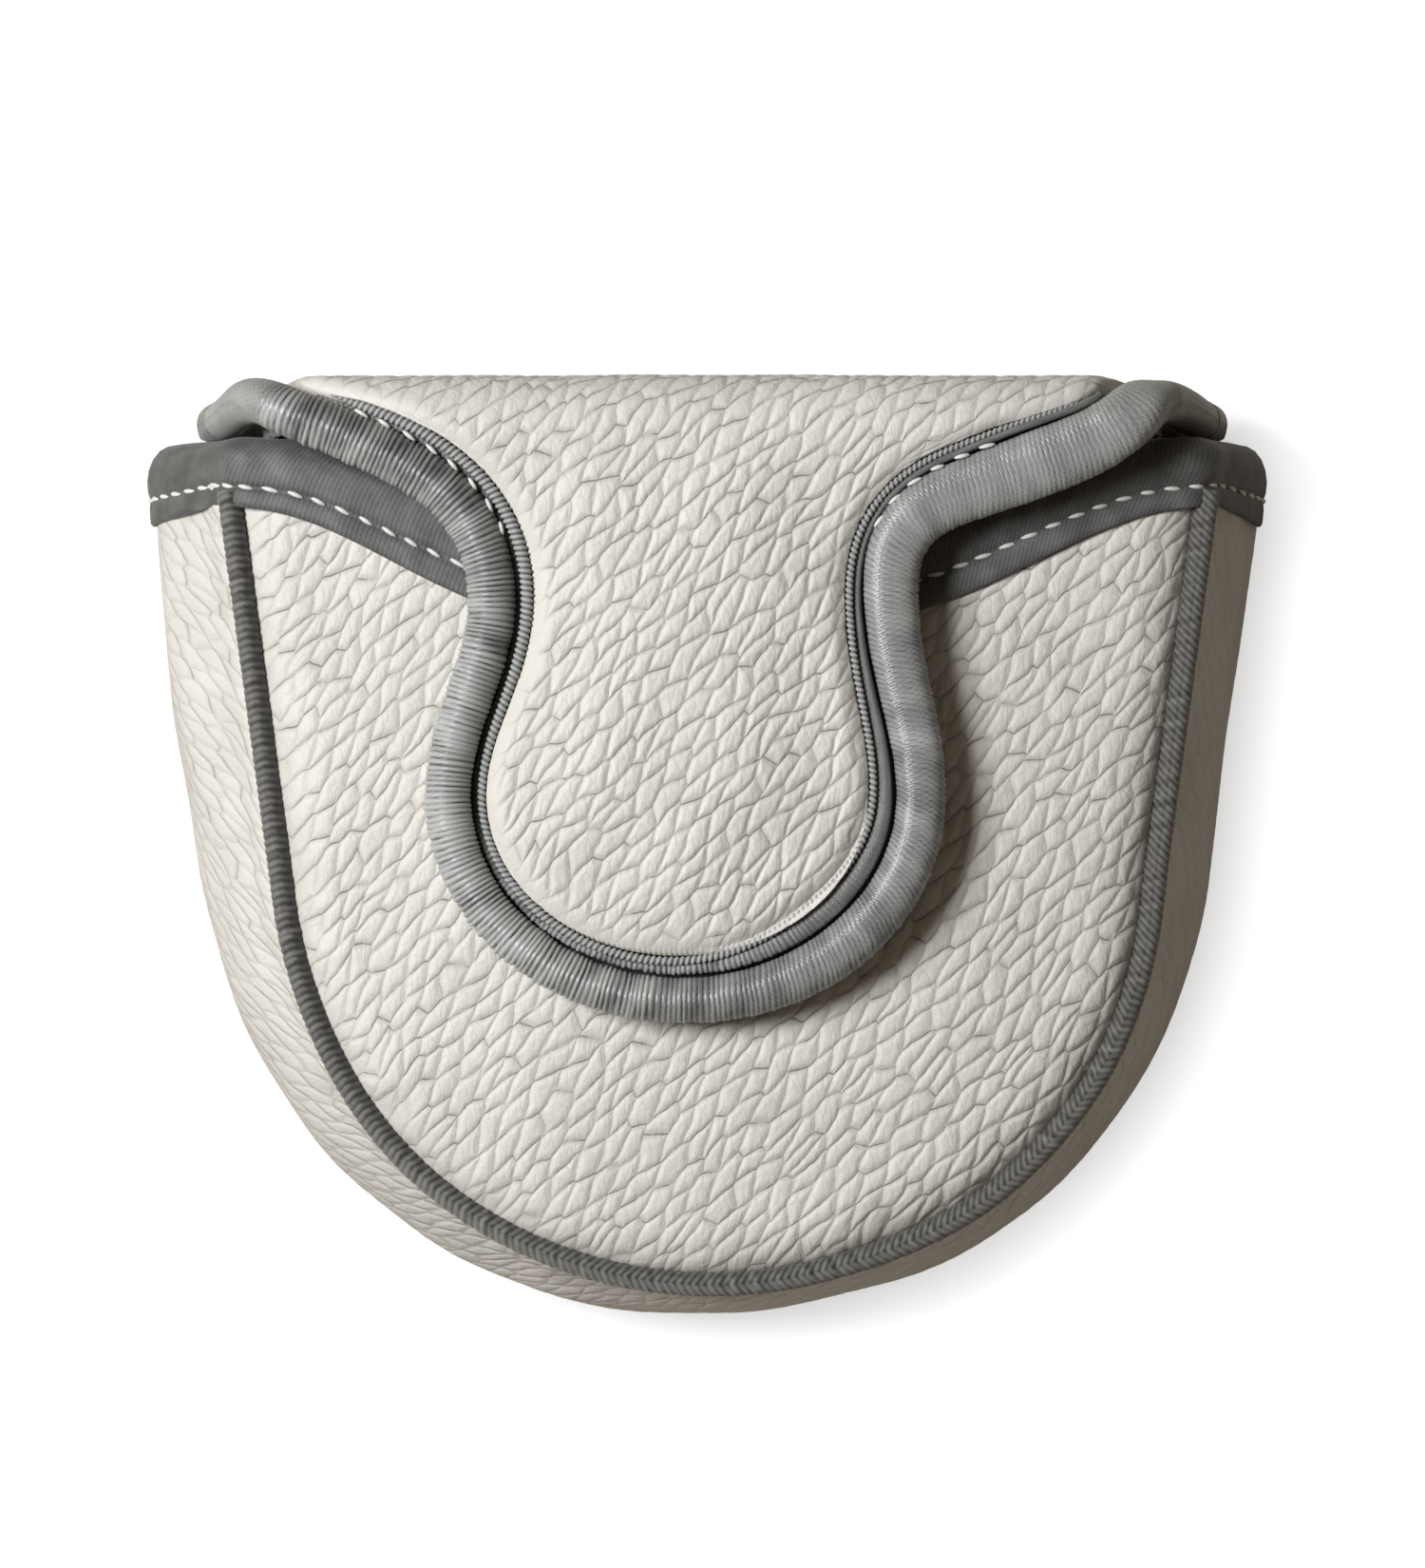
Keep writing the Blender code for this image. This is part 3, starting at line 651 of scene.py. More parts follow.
def thread_look():
    made, tree, shader = material("white_thread", 0.5, 0.4, 0.2)
    flat = flat_place(tree)
    twist = stripes(tree, flat, (1, 0.8), 0.35)
    paint(tree, shader, tint(tree, twist, (0.55, 0.55, 0.54), (0.86, 0.86, 0.85)), twist, 0.4, 0.05)
    return made


def plush_look():
    made, tree, shader = material("grey_plush", 0.95, 0.15, 0.6)
    flat = flat_place(tree)
    pile = noise(tree, flat, 1.6, 4.0).outputs[0]
    shade = times(tree, pile, 0.6, times(tree, noise(tree, flat, 0.12, 2.0).outputs[0], 0.4))
    look = tint(tree, ramp(tree, shade, 0.3, 0.7), (0.07, 0.07, 0.075), (0.19, 0.19, 0.2))
    paint(tree, shader, look, pile, 0.8, 0.5)
    return made


def metal_look():
    made, tree, shader = material("brushed_nickel", 0.3, 0.5, 0.0, 1.0)
    place = add(tree, "ShaderNodeTexCoord").outputs["Object"]
    scratches = noise(tree, place, 900.0, 3.0).outputs[0]
    look = tint(tree, ramp(tree, scratches, 0.3, 0.7), (0.55, 0.54, 0.53), (0.72, 0.72, 0.71))
    paint(tree, shader, look, scratches, 0.2, 0.02)
    return made


LEATHER, BRAID = leather_look(), braid_look()
GROSGRAIN = grosgrain_look("grey_satin_grosgrain", 0.36, 0.36, 0.16)
TAPE = grosgrain_look("grey_matt_tape", 0.58, 0.62, 0.22)
THREAD, PLUSH, METAL = thread_look(), plush_look(), metal_look()


def dress(piece, look, nodes=(), body=None, bend=None):
    """Gives a piece its material in one slot and hides the nodes it stands for; attaches it to its body if
    given, and for a bend only bakes its transform.
    """
    piece.data.materials.clear()
    piece.data.materials.append(look)
    if nodes:
        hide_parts(*nodes)
    if body:
        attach(piece, body)
    if bend == "spine_fold":
        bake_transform(piece)
    if bend == "flap_fold":
        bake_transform(piece)
    return piece


def cushion(name, top, under, place, gain, nodes, body=None, bend=None):
    """A padded piece with the leather's grain raised on it."""
    piece = dress(lift_grain(pad(name, top, under, place, gain)), LEATHER, nodes, body, bend)


def mm_point(x, y, z):
    return (x * MM, y * MM, z * MM)


# --- Front panel and gusset -----------------------------------------------------------------------

GRAIN_RISE = 0.22


def front_pad():
    x, y = u_grid(PANEL_INSET, 105, 221, lambda x: rim_y(x) - 0.4)
    d = seam_distance(x, y)
    rim = rim_y(x) - y
    round_seam = np.arctan2(x, SEAM_CENTRE_Y - y) * SEAM_RADIUS
    near_seam = np.exp(-np.maximum(0, d - 2) / 3.5) * ease(1.2, 3, d)
    top = front_height(x, y) + patches(x, y, 5, 34) * 0.22 * ease(2, 9, d)
    top += wobble(round_seam * 0.75, 3) * 0.32 * near_seam - 0.7 * (1 - ease(0, 5, rim))
    thick = (1.6 + (WALL - 1.6) * ease(1, 8, d)) * (0.6 + 0.4 * ease(0, 9, rim))
    gain = GRAIN_RISE * (0.4 + 0.6 * ease(1, 5, d)) * (0.5 + 0.5 * ease(6, 14, rim))
    outside, inside = settle(joined(x, y, top)), settle(joined(x, y, top - thick))
    nodes = ("front_panel_leather", "front_panel_foam")
    cushion("front_pad", outside, inside, joined(x, y), gain, nodes, "pouch")


def gusset_pad():
    t = np.linspace(-0.99, 0.99, 577)[:, None]
    w = np.linspace(0, 1, 81)[None, :]
    base = gusset_surface(t, w)
    along = lengths(gusset_surface(t, np.array([[0.5]]))[:, 0])[:, None]
    up = lengths(gusset_surface(np.array([[0.0]]), w)[0])[None, :]
    normal = -grid_normals(base)
    swell = patches(along, up * 2.2, 11, 30) * 0.18 + wobble(along * 0.8, 7) * 0.22 * ease(0.55, 0.85, w)
    swell *= np.minimum(1, 8 * w * (1 - w))
    swell += 0.9 * ease(-0.15, -0.45, t) * np.exp(-(((w - 0.9) / 0.07) ** 2))
    outside = base + normal * swell[..., None]
    outside[..., 0] -= np.sign(t) * mouth_pull((1 - np.abs(t)) / SIDE_SHARE, w)
    middle = (1 - np.abs(2 * w - 1) ** 3) * (0.6 + 0.4 * ease(1.0, 0.94, np.abs(t)))
    inside = outside - normal * (1.2 + (WALL - 1.2) * middle)[..., None]
    gain = GRAIN_RISE * 0.55 * (1 - 0.4 * ease(0.1, 0.7, t))
    gain = gain * (0.75 + 0.25 * ease(0.3, 0.7, w)) * (1 - 0.6 * ease(0.9, 1, w))
    nodes = ("gusset_leather", "gusset_foam")
    cushion("gusset_pad", settle(outside), settle(inside), joined(along, up + 70), gain, nodes, "pouch")


BRAID_PITCH = 0.95


def piping(name, height, top_y, replaced, around):
    """Corded piping: a chevron at the bottom, which turns into one spiral up the right side."""
    x, y = flared(SEAM_RADIUS, SEAM_CENTRE_Y, SEAM_FLARE, np.linspace(-1, 1, 2401), top_y)
    line = settle(resample(joined(x, y, height), 1901))
    up = np.tile([0.0, 0.0, 1.0], (len(line), 1))
    out = unit(np.cross(np.gradient(line, axis=0), up))
    not_left = ease(-45, -15, line[:, :1])

    def braid(u, angle):
        turned = np.mod(angle + math.pi / 2, TAU) - math.pi
        spiral = ease(30, 45, line[:, :1]) * ease(-30, -10, line[:, 1:2])
        lean = lerp(np.abs(turned), turned, spiral)
        strand = np.abs(np.cos(math.pi * u / BRAID_PITCH - (1.0 + 2.1 * not_left) * lean)) ** 0.8
        groove = 0.06 * np.exp(-((lean / 0.13) ** 2)) * not_left
        return 0.17 * strand - 0.13 + 0.05 * wobble(u * 3.1 + angle, 19) - groove

    # The piping is painted darker on the left and on the side that faces in towards the panel: painted shade.
    inward_painted_shade = np.clip(-np.cos(round_angles(around) + 0.5), 0, 1)
    shade = -0.14 * ease(-30, -50, line[:, :1]) - 0.26 * inward_painted_shade + 0.05
    radius = PIPING_RADIUS - 0.1
    piece = tube(name, line, out, up, radius, radius, braid, around=around, painted_light_shade=shade)
    dress(piece, BRAID, replaced, "pouch")


# --- Tongue: back, bridge and flap ----------------------------------------------------------------

BULB = (-3.4, 6.0, 29.2, 25.2)
LEFT_EDGE = [
    (-60.8, 78.0), (-59.0, 70.8), (-57.3, 63.5), (-55.2, 57.9), (-52.2, 54.3), (-48.0, 51.9), (-42.6, 49.4),
    (-37.2, 46.6), (-32.7, 43.4), (-29.4, 39.2), (-27.6, 34.4), (-27.2, 29.0), (-28.2, 23.4), (-30.2, 17.6),
    (-31.9, 12.0),
]
RIGHT_EDGE = [
    (25.2, 12.5), (23.8, 19.0), (22.6, 25.0), (22.1, 30.5), (22.4, 35.4), (24.3, 39.4), (28.1, 42.3),
    (33.6, 44.5), (39.8, 46.8), (45.8, 49.2), (49.6, 51.4), (52.2, 54.5), (53.9, 58.8), (56.3, 65.0),
    (58.8, 71.5), (60.8, 78.0),
]
ROLL_STEP = 0.13
BRIDGE_HALF_WIDTH = 60.8


def roll_line():
    """Centre line of the rolled edge drawn flat, from mid bridge on the left round the bulb to the right."""
    x, run, wide, long = BULB
    around = np.radians(np.arange(0, 181, 12))
    bottom = [(x - wide * math.cos(a), run - long * math.sin(a)) for a in around]
    line = smooth_line([*LEFT_EDGE, *bottom, *RIGHT_EDGE], ROLL_STEP)
    ends = line[[0, -1]].copy()
    line = resample(soften(line, 25), len(line))
    line[[0, -1]] = ends
    return line


ROLL = roll_line()
ROLL_OUT = unit(np.stack([np.gradient(ROLL[:, 1]), -np.gradient(ROLL[:, 0])], axis=-1))
BOTTOM = int(np.argmin(ROLL[:, 1]))


def stations():
    """Distances along the roll of its named places, from the left end to the right end."""
    along = lengths(ROLL)
    left, right = ROLL[: BOTTOM + 1], ROLL[BOTTOM:]

    def at(side, column, value, first):
        return along[first + int(np.argmin(np.abs(side[:, column] - value)))]

    return [
        0.0,
        at(left, 0, -46, 0),
        at(left[left[:, 1] > 20], 1, 32, 0),
        at(left, 1, 6, 0),
        at(left, 1, -12, 0),
        along[BOTTOM],
        at(right, 1, -12, BOTTOM),
        at(right, 1, 6, BOTTOM),
        at(right, 1, 32, BOTTOM),
        at(right, 0, 42, BOTTOM),
        along[-1],
    ]


STATIONS = stations()


def along_roll(*values):
    """A smooth run of values along the roll, given at the left end, wing, neck, bulb, low left, bottom, low
    right, right bulb, neck, wing and end."""
    run = np.interp(lengths(ROLL), STATIONS, values)
    return soften(run[:, None], 91)[:, 0]


ROLL_WIDE = along_roll(2.7, 3.1, 2.9, 2.75, 2.75, 2.7, 3.15, 3.0, 3.35, 4.2, 2.6)
BEAD_RADIUS = along_roll(0.4, 0.5, 0.66, 0.35, 0.42, 0.45, 0.38, 0.36, 0.36, 0.25, 0.25)
LEATHER_OFFSET = along_roll(5.2, 5.2, 5.5, 4.6, 5.0, 5.4, 7.5, 6.4, 5.8, 6.2, 5.2)
BRIDGE_OFFSET = LEATHER_OFFSET[0]


def inner_line(offset, window=61):
    return soften(ROLL - ROLL_OUT * np.broadcast_to(offset, (len(ROLL),))[:, None], window)


EDGE_TUCK = 2.1


def bridge_tuck(x, run):
    """How far the bridge's leather curls in towards its rolled edges."""
    on_bridge = ease(62, 82, run) * (1 - ease(LOW_FOLD_RUN, BACK_RUN, run))
    return EDGE_TUCK * on_bridge * ease(40, 57, np.abs(x))


def roll_depth(run):
    return 1.6 + 1.6 * ease(FOLD_START, FOLD_START + ARC_RUN, run) + EDGE_TUCK * ease(62, 82, run)


def leather_place(x, run):
    """Where the tongue and back lie on the hide, clear of the front panel's part of it."""
    return joined(x + 40, run + 130)


LEATHER_EDGE = inner_line(LEATHER_OFFSET)


def flap_grid(edge, low_rows, high_rows, columns, first=SPLIT_RUN):
    """Flat x and run over the tongue inside an edge line, from the bulb's end to the middle of the bridge."""
    a = np.linspace(-1, 1, columns)[None, :]
    b = np.linspace(-1, 0, low_rows)[:, None]
    bottom = int(np.argmin(edge[:, 1]))
    left = edge[: bottom + 1][::-1]
    right = edge[bottom:]
    run0 = BULB[1]
    left0, right0 = (np.interp(run0, side[:, 1], side[:, 0]) for side in (left, right))
    long = run0 - edge[bottom, 1]
    low_x = (left0 + right0) / 2 + (right0 - left0) / 2 * a * np.sqrt(1 - b**2 / 2)
    low_run = run0 + long * b * np.sqrt(1 - a**2 / 2)
    run = np.linspace(run0, first, high_rows + 1)[1:, None]
    lefts = np.interp(run, left[:, 1], left[:, 0])
    rights = np.interp(run, right[:, 1], right[:, 0])
    high_x = lefts + (rights - lefts) * (a + 1) / 2
    return np.vstack([low_x, high_x]), np.vstack([low_run, run + 0 * a])


def line_distance(x, run, line, step=6):
    """How far each point lies from the nearest row of a line, of every step-th row."""
    points = joined(x.ravel(), run.ravel())
    best = np.full(len(points), 1e9)
    for part in np.array_split(line[::step], 24):
        gap = np.hypot(*(points[:, None, k] - part[None, :, k] for k in (0, 1)))
        best = np.minimum(best, gap.min(axis=1))
    return best.reshape(x.shape)


def tongue_pad():
    x, run = flap_grid(LEATHER_EDGE, 45, 172, 201)
    d = line_distance(x, run, LEATHER_EDGE)
    on_flap = 1 - ease(38, 54, run)
    past_fold = ease(FOLD_START, FOLD_START + ARC_RUN, run)
    tuck = bridge_tuck(x, run)
    height = -1.5 + 1.5 * rounded(d, 2.4) + 1.4 * on_flap * (1 - np.exp(-((d / 10) ** 2)))
    height += patches(x, run, 21, 26) * 0.2 * ease(1, 6, d) * (0.3 + 0.7 * on_flap)
    height -= 0.25 * (1 - on_flap) * ease(0, 3, d) + tuck
    under = -3.2 - tuck - 0.5 * ease(1, 5, d) - 0.6 * past_fold
    smooth_left = 1 - 0.6 * np.exp(-d / 4) * (x < 0)
    gain = GRAIN_RISE * (0.35 + 0.65 * ease(0.3, 3, d)) * smooth_left
    top, under, place = lay(x, run, height), lay(x, run, under), leather_place(x, run)
    nodes = ("flap_leather", "flap_foam", "bridge_leather", "bridge_foam")
    cushion("tongue_pad", top, under, place, gain, nodes, bend="flap_fold")


def back_grid(inset, half_rows, columns, fold_rows, bridge_inset, full_width_run):
    """Flat x and run over the back panel and the lower half of the bridge, which has its own inset."""
    x, y = u_grid(inset, half_rows, columns, lambda x: FOLD_START + 0 * x)
    run = BACK_RUN + FOLD_START - y
    a = np.linspace(-1, 1, columns)[None, :]
    more = np.linspace(BACK_RUN, SPLIT_RUN, fold_rows + 1)[1:, None]
    low, high = seam_half_width(FOLD_START, inset), BRIDGE_HALF_WIDTH - bridge_inset
    half = lerp(low, high, ease(BACK_RUN + 0.5, full_width_run, more))
    return np.vstack([x, half * a]), np.vstack([run, more + 0 * a])


def back_pad():
    x, run = back_grid(1.3, 69, 129, 36, BRIDGE_OFFSET, LOW_FOLD_RUN - 4)
    d = np.where(run > BACK_RUN, seam_distance(x, FOLD_START + BACK_RUN - run), 9)
    height = -0.35 - 0.9 * (1 - rounded(d - 1.2, 3)) + patches(x, run, 31, 30) * 0.1
    height -= bridge_tuck(x, run)
    under = height - 1.5 - 2.6 * ease(1, 7, d)
    top, under, place = lay(x, run, height), lay(x, run, under), leather_place(x, run)
    nodes = ("back_panel_leather", "back_panel_foam", "bridge_leather", "bridge_foam")
    cushion("back_pad", top, under, place, 0.17, nodes, bend="spine_fold")


LINING_DEPTH = 4.6
PLUSH_THICKNESS = 1.3


def lining(name, outside, inside, place, nodes, body=None, bend=None):
    """A plush sheet with its flat cut given by place."""
    piece = dress(pad(name, outside, inside, place, 0.0), PLUSH, nodes, body, bend)


def linings():
    x, y = u_grid(8.0, 31, 61, lambda x: rim_y(x) - 3)
    top = front_height(x, y) - LINING_DEPTH - 0.5 * ease(10, 3, seam_distance(x, y))
    outside, inside = joined(x, y, top), joined(x, y, top - PLUSH_THICKNESS + patches(x, y, 41, 9) * 0.12)
    outside, inside = settle(outside), settle(inside)
    lining("front_lining", outside, inside, joined(x, y), ("front_panel_lining",), "pouch")
    t = np.linspace(-0.985, 0.985, 193)[:, None]
    w = np.linspace(0.13, 0.87, 25)[None, :]
    outside, inside = (settle(gusset_surface(t, w, LINING_DEPTH + more)) for more in (0, PLUSH_THICKNESS))
    bare = gusset_surface(t, w, LINING_DEPTH)
    place = joined(lengths(bare[:, 12])[:, None], lengths(bare[96])[None, :])
    lining("gusset_plush", outside, inside, place, ("gusset_lining",), "pouch")
    x, run = back_grid(8.0, 33, 65, 28, BRIDGE_OFFSET + 0.4, BACK_RUN - 3.5)
    top = -LINING_DEPTH - bridge_tuck(x, run)
    outside, inside = lay(x, run, top), lay(x, run, top - PLUSH_THICKNESS + patches(x, run, 43, 9) * 0.12)
    nodes = ("back_panel_lining", "bridge_lining")
    lining("back_lining", outside, inside, joined(x, run), nodes, bend="spine_fold")
    x, run = flap_grid(inner_line(along_roll(4.6, 2.2, *[1.6] * 7, 2.2, 4.6)), 25, 72, 81)
    deep = ease(FOLD_START, FOLD_START + ARC_RUN, run)
    tuck = bridge_tuck(x, run)
    outside = lay(x, run, -3.85 - 0.75 * deep - tuck)
    inside = lay(x, run, -4.75 - 1.15 * deep - tuck + patches(x, run, 47, 9) * 0.1)
    nodes = ("flap_lining", "bridge_lining")
    lining("tongue_lining", outside, inside, joined(x, run), nodes, bend="flap_fold")


ROLL_AROUND = 30


RIB_PITCH = 0.67
CORD_PITCH = 0.72


def ribbed(strength, slant, seed, skew=0.0):
    """Cross ribs of gathered tape, uneven in pitch and height; slant curves them and skew turns them."""

    def ridges(u, angle):
        phase = math.pi * (u + 0.16 * wobble(u * 1.1, seed)) / RIB_PITCH
        phase = phase + slant * np.sin(angle - 0.6) + skew * np.cos(angle)
        rib = 2 * np.abs(np.cos(phase + 0.15 * wobble(u * 0.9 + angle * 2, seed + 1))) ** 0.42 - 1.15
        uneven = 1 + 0.3 * wobble(u * 2.3, seed + 2)
        ruffle = 0.07 * wobble(u * 0.8 + np.cos(angle), seed + 3)
        ragged = 0.1 * wobble(u * 5.5, seed + 4) * np.clip(np.cos(angle), 0, 1) ** 2
        top = 0.5 + 0.5 * np.clip(np.sin(angle) * 0.9 + 0.55, 0, 1)
        return strength * (0.17 * rib * uneven * top + ruffle + ragged)

    return ridges


def flap_roll():
    centre, out, up = lay_frame(ROLL, roll_depth(ROLL[:, 1]))
    rib = along_roll(0.9, 0.9, 1.05, 1.35, 1.4, 0.65, 0.5, 0.5, 0.45, 0.35, 0.3)
    rib *= 1 - ease(FOLD_START + 2.5, FOLD_START + 7.5, ROLL[:, 1])
    slant = along_roll(0.3, 0.45, 0.45, 0.45, 0.45, 0.3, -0.5, -1.0, -1.0, -0.5, 0)
    skew = along_roll(0, 0, 0, 0, 0, 0, 5.0, 7.5, 6.5, 2.5, 0)
    # Painted light and shade along the roll: lighter at the left end and round the left of the bulb, darker
    # at the bottom; then painted shade on the roll's inner side at the left wing and neck.
    painted_light_shade = along_roll(0.24, 0.02, 0.02, 0.14, 0.1, -0.12, -0.05, -0.03, 0, 0.04, 0)[:, None]
    inner_side_painted_shade = np.clip(np.cos(round_angles(ROLL_AROUND) - 2.2), 0, 1)
    painted_light_shade = painted_light_shade - along_roll(0, 0.26, 0.14, 0, 0, 0, 0, 0, 0, 0, 0)[:, None] * inner_side_painted_shade
    tall = along_roll(2.5, 3.1, 3.2, 3.1, 3.1, 3.1, 3.1, 3.1, 3.1, 2.7, 2.4)
    boxy = along_roll(2, 2, 2, 2, 2, 2.2, 2.6, 2.7, 3.0, 3.2, 2.2)
    ridges = ribbed(rib[:, None], slant[:, None], 61, skew[:, None])
    mark = np.clip(rib, 0, 1)
    piece = tube("flap_roll", centre, out, up, ROLL_WIDE, tall, ridges, ROLL_AROUND, boxy, mark, painted_light_shade)
    nodes = ["flap_binding", "flap_binding_core"]
    nodes += [f"bridge_binding_{part}{side}" for part in ("", "core_") for side in ("left", "right")]
    dress(piece, GROSGRAIN, nodes, bend="flap_fold")


def low_rolls():
    """The rolled edges of the lower half of the bridge, down to the corners of the back panel."""
    keys = [(60.8, 78.0), (61.7, 84.0), (62.2, 91.0), (62.3, 97.0), (62.1, 102.0)]
    for name, side in (("left", -1), ("right", 1)):
        line = smooth_line([(side * x, run) for x, run in keys], 0.3)
        if side < 0:
            line = line[::-1].copy()
        centre, out, up = lay_frame(line, roll_depth(line[:, 1]))
        ridges = ribbed(0.15, 0.9, 67)
        piece = tube(f"bridge_roll_{name}", centre, out, up, 2.65, 2.5, ridges, ROLL_AROUND, 2.1)
        nodes = (f"bridge_binding_{name}", f"bridge_binding_core_{name}")
        dress(piece, GROSGRAIN, nodes, bend="spine_fold")


def part_line(offset, depth, last_run, step):
    """A line inside the roll, cut off at the fold, with its frame and its places along the whole roll."""
    line = inner_line(offset)
    kept = line[:, 1] < last_run
    rows = np.column_stack([line, np.broadcast_to(depth, (len(line),)), np.arange(len(line))])[kept]
    rows = resample(rows, int(lengths(rows[:, :2])[-1] / step), 2)
    return (*lay_frame(rows, rows[:, 2]), rows[:, 3].astype(int))


def flap_cord():
    """The twisted cord between leather and roll, the plain hem that it is sewn on, and a near-black band
    under them as painted shade.
    """
    depth = along_roll(1.2, 0.7, 0.7, 1.7, 1.2, 1.0, 0.9, 0.9, 0.8, 0.9, 1.2)
    centre, out, up, at = part_line(LEATHER_OFFSET - 0.25 - BEAD_RADIUS, depth, FOLD_START + 5.4, 0.11)
    from_end = np.minimum(np.arange(len(at)), np.arange(len(at))[::-1])
    radius = BEAD_RADIUS[at] * ease(0, 60, from_end + 12)

    def twist(u, angle):
        strand = np.abs(np.cos(math.pi * u / CORD_PITCH - angle / 2 + math.pi / 4)) ** 0.8
        return (0.36 * strand - 0.16) * (0.35 + radius[:, None])

    piece = tube("flap_hem_cord", centre, out, up, radius, radius, twist, 14)
    dress(piece, GROSGRAIN, ("flap_edge_cord",), "flap")
    near, far = ROLL_WIDE + 0.5, LEATHER_OFFSET - 0.4 - 2 * BEAD_RADIUS
    half = np.maximum(0.4, (far - near) / 2)
    sink = along_roll(1.6, 1.3, 2.4, 3.0, 1.6, 1.3, 1.4, 1.5, 1.6, 0.5, 1.2)
    centre, out, up, at = part_line((near + far) / 2, sink, FOLD_START + 5.5, 0.13)
    rib = along_roll(0.3, 0.6, 0.3, 0.3, 0.8, 0.9, 0.15, 0, 0, 0, 0)[at]
    ridges = ribbed(rib[:, None], 0.0, 73)
    piece = tube("flap_hem", centre, out, up, half[at] + 0.1, 0.55, lambda u, a: ridges(u, a) - 0.06, 14)
    dress(piece, GROSGRAIN, (), "flap")
    # A thin band under the hem, made near black by its fixed ridge offset: painted shade seen through the
    # groove between roll and leather.
    centre, out, up, at = part_line(4.2, 3.1, FOLD_START + 5.0, 0.6)
    piece = tube("flap_hem_shade_band", centre, out, up, 2.3, 0.5, lambda u, angle: -0.22 + 0 * u * angle, 12)
    dress(piece, BRAID, (), "flap")


def stitches(name, line, out, up, length, pitch, body, radius=0.3):
    """A row of short thread stitches laid end to end along a line."""
    along = lengths(line)
    rings, around = 9, 8
    turn = round_angles(around)
    bow = np.sin(np.linspace(0.12, math.pi - 0.12, rings))
    lean = np.linspace(-0.14, 0.14, rings)[:, None]
    size = (radius * bow[:, None] ** 0.45)[..., None]
    across, tall = size * np.cos(turn)[..., None], size * np.sin(turn)[..., None]
    points, faces, flats = [], [], []
    rng = np.random.default_rng(len(line))
    for start in np.arange(0.4, along[-1] - length, pitch):
        at = start + rng.uniform(-0.12, 0.12) + np.linspace(0, length * rng.uniform(0.9, 1.06), rings)
        centre, side, rise = (
            np.stack([np.interp(at, along, rows[:, k]) for k in range(3)], axis=1) for rows in (line, out, up)
        )
        centre = centre + rise * (0.22 * bow - 0.12)[:, None] + side * lean
        ring = centre[:, None] + side[:, None] * across + rise[:, None] * tall
        first = len(points) * rings * around
        faces += grid_faces(rings, around, start=first, round_rows=True)
        faces.append(tuple(first + i for i in reversed(range(around))))
        faces.append(tuple(first + (rings - 1) * around + i for i in range(around)))
        points.append(ring.reshape(-1, 3))
        flats.append(joined(at[:, None], turn * radius, 0.0).reshape(-1, 3))
    piece = mesh_object(name, np.vstack(points), faces, {"flat": np.vstack(flats)})
    dress(piece, THREAD, (), body)


def wing_stitches():
    line = inner_line(ROLL_WIDE + 0.25)
    for name, low, high, keep, height in (
        ("left", 37.5, 54.0, ROLL[:, 0] < 0, 0.45),
        ("right", 38.5, 50.6, ROLL[:, 0] > 0, -0.15),
    ):
        part = line[keep & (line[:, 1] > low) & (line[:, 1] < high)]
        centre, out, up = lay_frame(part, np.full(len(part), height))
        stitches(f"wing_stitching_{name}", centre, out, up, 1.9, 3.3, "flap", 0.28)


# --- Mouth tape -----------------------------------------------------------------------------------

TAPE_STATIONS = 641
TAPE_REACH = 11.0
TAPE_DROP = 6.7
TAPE_BULGE_DROP = 3.9
LEVELS = 12
TAPE_RELIEF = 0.38


def mouth_level(share):
    """A line round the outside of the mouth, from the left back seam to the right, share of the tape down."""
    w = np.linspace(0.03, 0.93, 90)
    drop = share * (TAPE_DROP + TAPE_BULGE_DROP * gusset_bulge(w))
    side = gusset_surface(1 - drop * SIDE_SHARE, w)
    side[:, 0] -= mouth_pull(drop, w)
    a = np.linspace(-1, 1, 400)
    x = a * 60.0
    y = lerp(rim_y(x), hem_y(x), share)
    x = a * (seam_half_width(y) - 0.6)
    z = front_height(x, y) - 0.7 * (1 - ease(0, 0.45, share))
    z = np.maximum(z, FRONT_SEAM_Z + PIPING_RADIUS * ease(4.5, 0.5, seam_distance(x, y)))
    whole = np.vstack([side * [-1, 1, 1], joined(x, y, z), side[::-1]])
    return resample(soften(resample(settle(whole), 1200), 41), TAPE_STATIONS)


STITCH_SHARE = 0.675
TAPE_SECTION = [
    (1.0, 0.15), (1.0, 0.75), (0.97, 1.0), (0.9, 1.02), (0.78, 0.98), (0.71, 0.85), (STITCH_SHARE, 0.45),
    (0.64, 0.85), (0.57, 1.0), (0.45, 1.12), (0.33, 1.25), (0.22, 1.3), (0.12, 1.15), (0.04, 0.7),
    (-0.04, -0.1), (-0.075, -1.2), (-0.04, -2.3), (0.05, -2.95), (0.2, -3.2), (0.5, -3.5), (0.8, -3.75),
    (0.81, -3.2), (0.5, -2.85), (0.2, -2.5), (0.08, -2.1), (0.04, -1.2), (0.08, -0.3), (0.2, 0.1), (0.5, 0.2),
]


